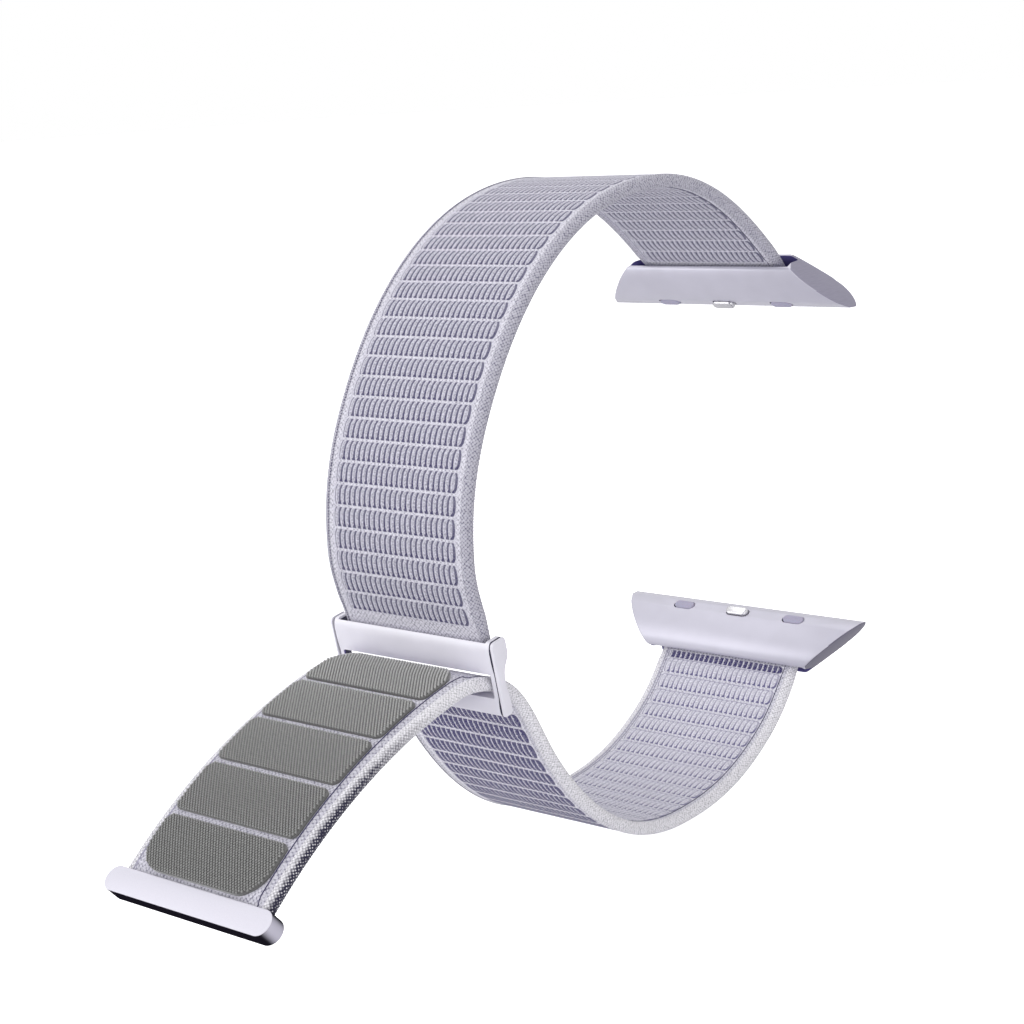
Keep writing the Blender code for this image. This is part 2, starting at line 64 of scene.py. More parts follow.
Sockets = tuple[NodeSocket, NodeSocket]
log = logging.getLogger("strap")

QUARTER = math.pi / 2
TURN = 2 * math.pi
TO_MM = 1000.0
ACROSS = Vector((1, 0, 0))
CREASE = math.radians(40)
ROW_PITCH = 0.00236
SAME = 1e-6
RANGE = ("Value", "From Min", "From Max", "To Min", "To Max")
# Nearly all of a noise texture's values lie between these.
NOISE = (0.3, 0.7)


# Vectors, routes and meshes


def toward(heading: float) -> Vector:
    """Gives the direction of a heading, measured from +Y towards +Z."""
    return Vector((0, math.cos(heading), math.sin(heading)))


def across(y: float, z: float) -> Vector:
    """Gives a place on the strap's middle plane."""
    return Vector((0, y, z))


def turned(origin: Vector, first: Vector, second: Vector, third: Vector | None = None) -> Matrix:
    """Makes a placing matrix from an origin and its local axes.

    Args:
        origin: Where local zero goes.
        first: The direction of local x.
        second: The direction of local y.
        third: The direction of local z, or None for the one that makes a right hand.

    Returns:
        The matrix.
    """
    last = first.cross(second) if third is None else third
    return Matrix.Translation(origin) @ Matrix((first, second, last)).transposed().to_4x4()


def eased(low: float, high: float, value: float) -> float:
    """Rises smoothly from 0 at low to 1 at high."""
    share = min(max((value - low) / (high - low), 0.0), 1.0)
    return share * share * (3 - 2 * share)


def evenly(low: float, high: float, count: int) -> list[float]:
    """Gives places that cut a stretch into equal parts, its ends among them."""
    return [low + (high - low) * i / count for i in range(count + 1)]


class Route:
    """A line in the middle plane that webbing follows."""

    def __init__(self, samples: Iterable[tuple[Vector, float]]) -> None:
        """Keeps places and headings with the length up to each.

        Args:
            samples: Places and headings, in order.
        """
        self.samples = list(samples)
        self.points: list[Vector] = [self.samples[0][0]]
        self.headings: list[float] = [self.samples[0][1]]
        self.lengths: list[float] = [0.0]
        for point, heading in self.samples[1:]:
            step = (point - self.points[-1]).length
            if step > 0:
                self.lengths.append(self.lengths[-1] + step)
                self.points.append(point)
                self.headings.append(heading)

    @property
    def length(self) -> float:
        """The route's whole length."""
        return self.lengths[-1]

    def at(self, along: float) -> tuple[Vector, float]:
        """Finds the place and heading this far along.

        Args:
            along: Length from the start. Past either end the route runs straight on.

        Returns:
            The place and the heading there.
        """
        i = min(max(bisect_right(self.lengths, along), 1), len(self.lengths) - 1)
        span = self.lengths[i] - self.lengths[i - 1]
        share = (along - self.lengths[i - 1]) / span
        inside = min(max(share, 0.0), 1.0)
        heading = self.headings[i - 1] + inside * (self.headings[i] - self.headings[i - 1])
        point = self.points[i - 1].lerp(self.points[i], inside)
        return point + (share - inside) * span * toward(heading), heading

    def carry(self, bm: BMesh, out: int) -> BMesh:
        """Bends a flat mesh onto the route.

        Args:
            bm: The mesh, with x across, y along and z out of the loop.
            out: 1 where the loop's outside is to the right of the way, and -1 where it is to the left.

        Returns:
            The same mesh.
        """
        for vert in bm.verts:
            point, heading = self.at(vert.co.y)
            vert.co = point + Vector((vert.co.x, 0, 0)) + out * vert.co.z * toward(heading - QUARTER)
        if out > 0:
            # To the right of the way the bent mesh is a mirror image, so its faces are turned back outward.
            bmesh.ops.reverse_faces(bm, faces=bm.faces)
        return bm


def knotted(knots: Sequence[tuple[Vector, float]], handle: float, steps: int = 72) -> list[tuple[Vector, float]]:
    """Samples a curve through knots.

    Args:
        knots: Each knot's place and heading.
        handle: Each handle's share of the distance between two knots.
        steps: Samples between two knots.

    Returns:
        Places and headings along the curve.
    """
    found = []
    for (start, leave), (end, arrive) in zip(knots, knots[1:]):
        reach = handle * (end - start).length
        first, second = start + reach * toward(leave), end - reach * toward(arrive)
        for i in range(steps + 1):
            t = i / steps
            u = 1 - t
            point = u**3 * start + 3 * u * u * t * first + 3 * u * t * t * second + t**3 * end
            slope = u * u * (first - start) + 2 * u * t * (second - first) + t * t * (end - second)
            found.append((point, math.atan2(slope.z, slope.y) % TURN))
    return found


def bent(start: Vector, heading: float, arcs: Sequence[Pair], steps: int = 48) -> list[tuple[Vector, float]]:
    """Samples a chain of arcs.

    Args:
        start: Where the first arc begins.
        heading: The heading there.
        arcs: Each arc's length and bend.
        steps: Samples along an arc.

    Returns:
        Places and headings along the arcs.
    """
    found = [(start, heading)]
    for length, bend in arcs:
        for _ in range(steps):
            point, now = found[-1]
            found.append((point + length / steps * toward(now + bend / steps / 2), now + bend / steps))
    return found


def grid_of(xs: Sequence[float], ys: Sequence[float]) -> BMesh:
    """Makes a flat grid with its lines at the given places.

    Args:
        xs: Where the lines along y stand.
        ys: Where the lines along x stand.

    Returns:
        The mesh.
    """
    bm = bmesh.new()
    columns, rows = len(xs) - 1, len(ys) - 1
    bmesh.ops.create_grid(bm, x_segments=columns, y_segments=rows, size=1)
    for vert in bm.verts:
        i, j = round((vert.co.x + 1) / 2 * columns), round((vert.co.y + 1) / 2 * rows)
        vert.co = (xs[i], ys[j], 0)
    return bm


def in_place(bm: BMesh, place: Matrix) -> BMesh:
    """Puts a mesh in its place, with its faces outward."""
    bmesh.ops.transform(bm, matrix=place, verts=bm.verts)
    bmesh.ops.recalc_face_normals(bm, faces=bm.faces)
    return bm


def closed(bm: BMesh) -> BMesh:
    """Fills the open ends of a mesh and turns its faces outward."""
    bmesh.ops.holes_fill(bm, edges=[e for e in bm.edges if e.is_boundary], sides=0)
    bmesh.ops.recalc_face_normals(bm, faces=bm.faces)
    return bm


def doubled(bm: BMesh) -> set[BMVert]:
    """Draws a flat mesh out into a second layer, joined at its rim, and gives the new vertices."""
    drawn = bmesh.ops.extrude_face_region(bm, geom=bm.faces[:], use_keep_orig=True)["geom"]
    return {v for v in drawn if isinstance(v, BMVert)}


def frozen(name: str, bm: BMesh) -> Mesh:
    """Writes a mesh to a datablock and frees it."""
    made = bpy.data.meshes.new(name)
    bm.to_mesh(made)
    bm.free()
    return made


def copied(bm: BMesh, mesh: Mesh) -> list[BMVert]:
    """Adds a copy of a datablock's mesh and gives the new vertices."""
    before = len(bm.verts)
    bm.from_mesh(mesh)
    bm.verts.ensure_lookup_table()
    return bm.verts[before:]


def rolled(radius: float, sides: int, ys: Sequence[float]) -> BMesh:
    """Rolls a flat grid into a closed tube along y, with the flat map kept on it.

    Args:
        radius: The tube's radius.
        sides: Faces round it.
        ys: Where its rings stand.

    Returns:
        The tube, centred on the y axis.
    """
    bm = grid_of([math.pi * radius * (2 * i / sides - 1) for i in range(sides + 1)], ys)
    lay_flat_map(bm)
    for vert in bm.verts:
        turn = vert.co.x / radius
        vert.co = (radius * math.cos(turn), vert.co.y, radius * math.sin(turn))
    bmesh.ops.remove_doubles(bm, verts=bm.verts, dist=SAME)
    return closed(bm)


def prism(outline: Sequence[Pair], low: float, high: float) -> BMesh:
    """Draws an outline in local x and y out along local z."""
    bm = bmesh.new()
    bm.faces.new([bm.verts.new((x, y, low)) for x, y in outline])
    bmesh.ops.translate(bm, vec=(0, 0, high - low), verts=list(doubled(bm)))
    bmesh.ops.recalc_face_normals(bm, faces=bm.faces)
    return bm


def rims(bm: BMesh, *levels: float) -> list[BMEdge]:
    """Finds the edges that lie at the given levels of local z."""
    return [e for e in bm.edges if any(all(abs(v.co.z - z) < SAME for v in e.verts) for z in levels)]


def rod(radius: float, half: float, sides: int = 32) -> BMesh:
    """Makes a round bar along local z with softened ends."""
    bm = bmesh.new()
    bmesh.ops.create_cone(bm, cap_ends=True, segments=sides, radius1=radius, radius2=radius, depth=2 * half)
    soften(bm, rims(bm, -half, half), radius / 4)
    return bm


def stadium(length: float, width: float, steps: int = 12) -> list[Pair]:
    """Gives a slot outline, long in x, with round ends."""
    radius, reach = width / 2, (length - width) / 2
    turns = [i * math.pi / steps - QUARTER for i in range(steps + 1)]
    right = [(reach + radius * math.cos(t), radius * math.sin(t)) for t in turns]
    return right + [(-x, -y) for x, y in right]


def smoothed(points: Sequence[Pair], steps: int = 4) -> list[Pair]:
    """Runs a smooth curve through the points of an open outline.

    Args:
        points: The outline's points.
        steps: Pieces that each stretch between two points is cut into.

    Returns:
        The finer outline.
    """
    found = []
    ends = [points[0], *points, points[-1]]
    for a, b, c, d in zip(ends, ends[1:], ends[2:], ends[3:]):
        for i in range(steps):
            t = i / steps
            found.append(
                tuple(
                    b[k]
                    + t * (c[k] - a[k]) / 2
                    + t * t * (a[k] - 2.5 * b[k] + 2 * c[k] - d[k] / 2)
                    + t**3 * (1.5 * b[k] - 1.5 * c[k] + (d[k] - a[k]) / 2)
                    for k in (0, 1)
                )
            )
    return [*found, tuple(points[-1])]


def soften(bm: BMesh, edges: Iterable[BMEdge], width: float, segments: int = 3) -> None:
    """Rounds edges of a mesh."""
    bmesh.ops.bevel(
        bm, geom=list(edges), offset=width, segments=segments, profile=0.5, affect="EDGES",
        material=-1, clamp_overlap=True,
    )


def sharp_edges(bm: BMesh, angle: float) -> list[BMEdge]:
    """Finds the edges whose faces meet at more than an angle."""
    return [e for e in bm.edges if len(e.link_faces) == 2 and e.calc_face_angle(0) > angle]


def lay_flat_map(bm: BMesh) -> None:
    """Writes each corner's flat x and y to the weave map, in metres, before the mesh is bent."""
    layer = bm.loops.layers.uv.get("weave") or bm.loops.layers.uv.new("weave")
    for face in bm.faces:
        for loop in face.loops:
            loop[layer].uv = loop.vert.co.xy


def finished(name: str, bm: BMesh, finishes: Sequence[Material], crease: float = CREASE) -> Object:
    """Turns a mesh into a shown piece.

    Args:
        name: The piece's name.
        bm: Its mesh, freed here.
        finishes: Its materials, in the order of its faces' indices.
        crease: The angle past which an edge stays sharp.

    Returns:
        The piece.
    """
    mesh = frozen(name, bm)
    mesh.shade_smooth()
    mesh.set_sharp_from_angle(angle=crease)
    for finish in finishes:
        mesh.materials.append(finish)
    made = bpy.data.objects.new(name, mesh)
    bpy.context.scene.collection.objects.link(made)
    return made


def carved(piece: Object, tools: Iterable[BMesh], crease: float = CREASE) -> Object:
    """Cuts tools out of a piece for good.

    Args:
        piece: The piece to cut.
        tools: Closed meshes, freed here.
        crease: The angle past which an edge of the result stays sharp.

    Returns:
        The same piece.
    """
    helpers = []
    for bm in tools:
        helper = finished(piece.name + "_tool", bm, [])
        cut = piece.modifiers.new("cut", "BOOLEAN")
        cut.operation, cut.object, cut.solver = "DIFFERENCE", helper, "EXACT"
        helpers.append(helper)
    graph = bpy.context.evaluated_depsgraph_get()
    mesh = bpy.data.meshes.new_from_object(piece.evaluated_get(graph))
    mesh.set_sharp_from_angle(angle=crease)
    piece.modifiers.clear()
    piece.data = mesh
    for helper in helpers:
        bpy.data.objects.remove(helper)
    return piece


def join(piece: Object, bm: BMesh) -> None:
    """Adds a closed mesh to a piece beside what it has."""
    extra = frozen("extra", bm)
    extra.shade_smooth()
    whole = bmesh.new()
    whole.from_mesh(piece.data)
    whole.from_mesh(extra)
    whole.to_mesh(piece.data)
    whole.free()
    bpy.data.meshes.remove(extra)


def dress(piece: Object, index: int, chosen: Callable[[Vector, Vector], bool]) -> None:
    """Gives a material index to the faces whose centre and normal pass a test."""
    for face in piece.data.polygons:
        if chosen(face.center, face.normal):
            face.material_index = index


def report(piece: Object, body: str, slot: str, *nodes: str) -> Object:
    """Hangs a piece on a body, hides the frame's nodes that it replaces, and logs it.

    Args:
        piece: The finished piece.
        body: The frame's body that it moves with.
        slot: The record's material slot; not used.
        *nodes: The frame's nodes that it replaces.

    Returns:
        The same piece.
    """
    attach(piece, body)
    if nodes:
        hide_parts(*nodes)
    log.info("%s: %d faces on %s", piece.name, len(piece.data.polygons), body)
    return piece


# Finishes


def linear(code: str) -> Rgba:
    """Turns an sRGB hex colour into linear light."""
    parts = [int(code[i : i + 2], 16) / 255 for i in (1, 3, 5)]
    light = [p / 12.92 if p <= 0.04045 else ((p + 0.055) / 1.055) ** 2.4 for p in parts]
    return (light[0], light[1], light[2], 1.0)


def add(tree: NodeTree, kind: str, inputs: dict[str | int, object] | None = None, **settings: object) -> Node:
    """Adds a node with its settings and links.

    Args:
        tree: The material's node tree.
        kind: The node's type, without its ShaderNode prefix.
        inputs: For each socket, a value or the socket that it is linked from.
        **settings: The node's own properties.

    Returns:
        The node.
    """
    made = tree.nodes.new("ShaderNode" + kind)
    for name, value in settings.items():
        setattr(made, name, value)
    for key, value in (inputs or {}).items():
        if isinstance(value, NodeSocket):
            tree.links.new(value, made.inputs[key])
        else:
            made.inputs[key].default_value = value
    return made


@dataclass(frozen=True)
class Finish:
    """What every finish has: a name, a colour and how it scatters light."""

    name: str
    colour: str
    roughness: float

    def begin(self, values: dict[str, object]) -> tuple[Material, Node]:
        """Makes the material and sets its shader.

        Args:
            values: Values of further shader sockets.

        Returns:
            The material and its Principled shader.
        """
        made = bpy.data.materials.new(self.name)
        made.use_nodes = True
        made.diffuse_color = linear(self.colour)
        shader = made.node_tree.nodes["Principled BSDF"]
        for name, value in {"Base Color": linear(self.colour), "Roughness": self.roughness, **values}.items():
            shader.inputs[name].default_value = value
        return made, shader


@dataclass(frozen=True)
class Grained(Finish):
    """A finish whose grain shifts its tone, its roughness and its relief.

    tones are the tone's factors in the grain's dark and pale parts, gloss is how far the roughness falls and rises,
    and relief is the bump's strength and distance. A finish without one of them keeps it plain.
    """

    grain_mm: float = 0.1
    flat: ClassVar[bool] = False
    detail: ClassVar[float] = 2.0
    tones: ClassVar[Pair | None] = None
    gloss: ClassVar[Pair | None] = None
    relief: ClassVar[Pair | None] = None

    def values(self) -> dict[str, object]:
        """Gives the values of further shader sockets."""
        return {}

    def grain(self, tree: NodeTree, mm: NodeSocket) -> NodeSocket:
        """Adds the grain, on places in millimetres."""
        noise = add(tree, "TexNoise", {"Vector": mm, "Scale": 1 / self.grain_mm, "Detail": self.detail})
        return noise.outputs["Fac"]

    def mottle(self, tree: NodeTree, mm: NodeSocket, grain: NodeSocket) -> NodeSocket:
        """Gives what shifts the tone, which is the grain itself in most finishes."""
        return grain

    def pattern(self, tree: NodeTree, mm: NodeSocket, grain: NodeSocket, tint: NodeSocket) -> Sockets:
        """Gives the colour and the height, which are the shifted tone and the grain in plain finishes."""
        return tint, grain

    def build(self) -> Material:
        """Makes the material."""
        made, shader = self.begin(self.values())
        tree, links = made.node_tree, {}
        if self.flat:
            place = add(tree, "UVMap", uv_map="weave").outputs["UV"]
        else:
            place = add(tree, "TexCoord").outputs["Object"]
        mm = add(tree, "VectorMath", {0: place, "Scale": TO_MM}, operation="SCALE").outputs[0]
        grain = self.grain(tree, mm)
        height = grain
        if self.tones:
            values = (self.mottle(tree, mm, grain), *NOISE, *self.tones)
            tone = add(tree, "MapRange", dict(zip(RANGE, values))).outputs[0]
            shades = {"Fac": 1.0, "Color1": linear(self.colour), "Color2": tone}
            tint = add(tree, "MixRGB", shades, blend_type="MULTIPLY").outputs[0]
            links["Base Color"], height = self.pattern(tree, mm, grain, tint)
        if self.gloss:
            ends = {"To Min": self.roughness - self.gloss[0], "To Max": self.roughness + self.gloss[1]}
            links["Roughness"] = add(tree, "MapRange", {"Value": grain, **ends}).outputs[0]
        if self.relief:
            strength, distance = self.relief
            bump = add(tree, "Bump", {"Height": height, "Strength": strength, "Distance": distance})
            links["Normal"] = bump.outputs[0]
        for name, socket in links.items():
            tree.links.new(socket, shader.inputs[name])
        return made


@dataclass(frozen=True)
class SatinLacquer(Grained):
    """Pearl lacquer sprayed on moulded nylon: a soft bright satin with a very fine orange peel."""

    grain_mm: float = 0.22
    metallic: float = 0.25
    cloud_mm: ClassVar[float] = 1 / 0.35
    tones: ClassVar[Pair] = (0.975, 1.02)
    gloss: ClassVar[Pair] = (0.04, 0.04)
    relief: ClassVar[Pair] = (0.12, 0.00002)

    def values(self) -> dict[str, object]:
        """Gives the lacquer's metal flakes and its clear coat."""
        return {"Metallic": self.metallic, "Coat Weight": 0.18, "Coat Roughness": 0.25}

    def mottle(self, tree: NodeTree, mm: NodeSocket, grain: NodeSocket) -> NodeSocket:
        """Adds wide faint clouds, where the spray lies thicker."""
        noise = add(tree, "TexNoise", {"Vector": mm, "Scale": 1 / self.cloud_mm, "Detail": 1.0})
        return noise.outputs["Fac"]


@dataclass(frozen=True)
class BrushedFlare(Grained):
    """The lacquered ends rubbed with fine abrasive along the lug, which dulls them with faint lines. Their darker
    colour is painted shade.
    """

    grain_mm: float = 0.09
    lean: float = 0.0
    line_mm: ClassVar[float] = 2.5
    tones: ClassVar[Pair] = (0.92, 1.06)
    gloss: ClassVar[Pair] = (0.05, 0.07)
    relief: ClassVar[Pair] = (0.2, 0.00001)

    def values(self) -> dict[str, object]:
        """Gives the rubbed flakes' metal."""
        return {"Metallic": 0.55}

    def grain(self, tree: NodeTree, mm: NodeSocket) -> NodeSocket:
        """Adds the grain, drawn out into lines."""
        scale = (1 / self.grain_mm, 1 / self.line_mm, 1 / self.grain_mm)
        lines = add(tree, "Mapping", {"Vector": mm, "Rotation": (self.lean, 0.0, 0.0), "Scale": scale})
        return add(tree, "TexNoise", {"Vector": lines.outputs[0], "Scale": 1.0, "Detail": 3.0}).outputs["Fac"]


class Yarn(Enum):
    """Where a nylon yarn is used, which settles its pattern."""

    GROUND = "ground"
    LOOP = "loop"
    PIPING = "piping"
    SEAM = "seam"


@dataclass(frozen=True)
class NylonYarn(Grained):
    """Textured nylon yarn, woven or knitted: matt, with a soft pale fuzz and dark gaps between the threads.

    Filaments of about 0.02 mm are too fine to show, so the fuzz is drawn at 0.2 mm.
    """

    grain_mm: float = 0.2
    use: Yarn = Yarn.GROUND
    gap_colour: str = "#2f2a55"
    stitch_mm: float = 0.30
    gap_depth: float = 0.4
    body_depth: float = 0.30
    strip_from: float = 0.66
    dot: float = 0.26
    fade: float = 0.1
    arch: float = 0.0
    flat: ClassVar[bool] = True
    tones: ClassVar[Pair] = (0.74, 1.1)
    relief: ClassVar[Pair] = (0.5, 0.00005)

    def values(self) -> dict[str, object]:
        """Gives the fuzz's sheen."""
        return {"Sheen Weight": 0.25, "Sheen Roughness": 0.5, "Specular IOR Level": 0.2}

    def pattern(self, tree: NodeTree, mm: NodeSocket, grain: NodeSocket, tint: NodeSocket) -> Sockets:
        """Adds the weave that this use of the yarn shows, and gives the colour and the height."""
        named = {"fuzz": grain, "height": grain}
        if self.use is Yarn.LOOP:
            local = add(tree, "SeparateXYZ", {0: add(tree, "UVMap", uv_map="loop").outputs[0]}).outputs
            named |= {"u": local["X"], "v": local["Y"]}
        elif self.use is not Yarn.SEAM:
            # The knit's stitches sit on a lattice turned by 45 degrees, so their rows run aslant.
            lattice = add(tree, "Mapping", {"Vector": mm, "Rotation": (0.0, 0.0, math.pi / 4)}).outputs[0]
            knit = {"Vector": lattice, "Scale": 1 / self.stitch_mm, "Randomness": 0.3}
            named["cells"] = add(tree, "TexVoronoi", knit, feature="F1").outputs["Distance"]
            named["shade"] = add(tree, "Attribute", attribute_name="shade").outputs["Fac"]
        for name, kind, *given in self.steps():
            values = [named[g] if isinstance(g, str) else g for g in given]
            if kind in ("LINEAR", "SMOOTHSTEP"):
                node = add(tree, "MapRange", dict(zip(RANGE, values)), interpolation_type=kind)
            else:
                node = add(tree, "Math", dict(enumerate(values)), operation=kind)
            named[name] = node.outputs[0]
        ends = {"Fac": named["gap"], "Color1": tint, "Color2": linear(self.gap_colour)}
        return add(tree, "MixRGB", ends).outputs[0], named["height"]

    def steps(self) -> list[tuple[object, ...]]:
        """Lists the pattern's steps, which end with how much of the gap colour shows.

        Returns:
            Each step's name, its ramp or its sum, and what it works on: numbers or the names of earlier steps.
        """
        if self.use is Yarn.SEAM:
            return [("gap", "MULTIPLY", "fuzz", 0.2)]
        if self.use is Yarn.LOOP:
            return [*self.loop_steps(), *(self.arch_steps() if self.arch else ())]
        knit = [
            ("gap", "LINEAR", "cells", 0.42, 0.68, 0.0, self.gap_depth),
            ("height", "SUBTRACT", 1.0, "cells"),
            ("gap", "ADD", "gap", "shade"),
            ("gap", "MINIMUM", "gap", 1.0),
        ]
        # In a piping's shaded part only the middles of the stitches stay pale.
        specks = [("speck", "LINEAR", "cells", 0.12, 0.34), ("gap", "MULTIPLY", "gap", "speck")]
        return knit + specks if self.use is Yarn.PIPING else knit

    def loop_steps(self) -> list[tuple[object, ...]]:
        """Paints shade on a loop: on its left wall, at its tips, in the strip that the next loop leaves in shade, and
        over the far part of its body.
        """
        return [
            ("reach", "ABSOLUTE", "v"),
            # The line widens to a dot at each tip, more at the far one.
            ("dot", "LINEAR", "v", 0.62, 0.84, 0.0, self.dot),
            ("tick", "LINEAR", "v", -0.74, -0.92, 0.0, self.dot / 2),
            ("spread", "ADD", "dot", "tick"),
            ("moved", "ADD", "u", "spread"),
            ("strip", "SMOOTHSTEP", "moved", self.strip_from, self.strip_from + 0.06),
            ("past", "LINEAR", "u", 1.14, 1.06),
            ("strip", "MULTIPLY", "strip", "past"),
            ("wall", "LINEAR", "u", 0.07, 0.02),
            ("before", "LINEAR", "u", -0.14, -0.06),
            ("wall", "MULTIPLY", "wall", "before"),
            ("line", "MAXIMUM", "strip", "wall"),
            ("ended", "LINEAR", "reach", 0.91, 0.97, self.gap_depth, 0.0),
            ("line", "MULTIPLY", "line", "ended"),
            # The line is a chain of small shadows between filaments, drawn coarser than they are to show.
            ("broken", "LINEAR", "fuzz", 0.38, 0.62, 0.8, 1.0),
            ("line", "MULTIPLY", "line", "broken"),
            ("fainter", "LINEAR", "v", -0.3, 0.6, 1 - self.fade, 1.0),
            ("line", "MULTIPLY", "line", "fainter"),
            ("body", "LINEAR", "u", 0.14, 0.42, 0.0, self.body_depth),
            ("body", "MULTIPLY", "body", "past"),
            ("ended", "LINEAR", "reach", 0.80, 1.0, 1.0, 0.0),
            ("body", "MULTIPLY", "body", "ended"),
            ("speck", "LINEAR", "fuzz", 0.35, 0.65, 1.5, 0.3),
            ("body", "MULTIPLY", "body", "speck"),
            ("gap", "MAXIMUM", "line", "body"),
        ]

    def arch_steps(self) -> list[tuple[object, ...]]:
        """Draws a bowed line across a loop by its first tip, where the yarn dives into the ground."""
        return [
            ("aside", "SUBTRACT", "u", 0.5),
            ("bow", "MULTIPLY", "aside", "aside"),
            ("bowed", "MULTIPLY_ADD", "bow", -0.45, "v"),
            ("rise", "LINEAR", "bowed", -0.99, -0.93, 0.0, self.arch),
            ("fall", "LINEAR", "bowed", -0.86, -0.80, 1.0, 0.0),
            ("arch", "MULTIPLY", "rise", "fall"),
            ("gap", "MAXIMUM", "gap", "arch"),
        ]


@dataclass(frozen=True)
class HookTape(Grained):
    """Grey nylon hook tape: matt stems and heads over a woven ground painted dark for the shade between them, paler
    where it is seen aslant.
    """

    grain_mm: float = 0.34
    # Painted shade: the tape between the stems is mixed towards this near black.
    ground: str = "#161617"
    flat: ClassVar[bool] = True
    detail: ClassVar[float] = 1.0
    tones: ClassVar[Pair] = (0.9, 1.1)

    def values(self) -> dict[str, object]:
        """Gives the stems' sheen."""
        return {"Sheen Weight": 0.9, "Sheen Roughness": 0.35, "Specular IOR Level": 0.3}

    def pattern(self, tree: NodeTree, mm: NodeSocket, grain: NodeSocket, tint: NodeSocket) -> Sockets:
        """Paints shade by the shade attribute: dark on the tape between the stems, and on the stems more towards the
        tail's end.
        """
        deep = add(tree, "Attribute", attribute_name="shade").outputs["Fac"]
        return add(tree, "MixRGB", {"Fac": deep, "Color1": tint, "Color2": linear(self.ground)}).outputs[0], grain


@dataclass(frozen=True)
class BlastedAlloy(Grained):
    """Anodised aluminium, bead blasted before dyeing: an even, faintly grainy satin."""

    grain_mm: float = 0.08
    metallic: float = 0.5
    shine: float = 0.5
    painted_highlight_colour: str = ""
    tones: ClassVar[Pair] = (0.96, 1.03)
    gloss: ClassVar[Pair] = (0.05, 0.05)
    relief: ClassVar[Pair] = (0.15, 0.00001)

    def values(self) -> dict[str, object]:
        """Gives how much of the metal shows through the dye."""
        return {"Metallic": self.metallic, "Specular IOR Level": self.shine}

    def pattern(self, tree: NodeTree, mm: NodeSocket, grain: NodeSocket, tint: NodeSocket) -> Sockets:
        """Mixes in the painted highlight colour by the shade attribute, a painted reflection of a bright light."""
        if not self.painted_highlight_colour:
            return tint, grain
        painted_highlight = add(tree, "Attribute", attribute_name="shade").outputs["Fac"]
        ends = {"Fac": painted_highlight, "Color1": tint, "Color2": linear(self.painted_highlight_colour)}
        return add(tree, "MixRGB", ends).outputs[0], grain


@dataclass(frozen=True)
class TurnedSteel(Grained):
    """Stainless steel turned on a lathe: bright, with fine rings across the rod."""

    grain_mm: float = 0.12
    gloss: ClassVar[Pair] = (0.06, 0.08)
    relief: ClassVar[Pair] = (0.2, 0.00001)

    def values(self) -> dict[str, object]:
        """Gives bare metal."""
        return {"Metallic": 1.0}

    def grain(self, tree: NodeTree, mm: NodeSocket) -> NodeSocket:
        """Adds the tool's rings."""
        rings = {"Vector": mm, "Scale": 1 / self.grain_mm / TURN, "Distortion": 1.5}
        return add(tree, "TexWave", rings, bands_direction="X").outputs["Fac"]


@dataclass(frozen=True)
class Silicone(Grained):
    """Moulded silicone: soft and matt, with a dusty fine grain."""

    tones: ClassVar[Pair] = (0.9, 1.08)
    relief: ClassVar[Pair] = (0.2, 0.00001)

    def values(self) -> dict[str, object]:
        """Gives the soft light inside it."""
        return {"Subsurface Weight": 0.1, "Subsurface Scale": 0.0003}


@dataclass(frozen=True)
class PaintedFloor(Finish):
    """Matt white paint on a studio floor. The camera sees it lifted towards white, and it still takes a shadow."""

    lift: float = 0.8

    def build(self) -> Material:
        """Makes the material."""
        made, shader = self.begin({"Emission Color": linear("#ffffff")})
        seen = add(made.node_tree, "LightPath").outputs["Is Camera Ray"]
        glow = add(made.node_tree, "Math", {0: seen, 1: self.lift}, operation="MULTIPLY")
        made.node_tree.links.new(glow.outputs[0], shader.inputs["Emission Strength"])
        return made


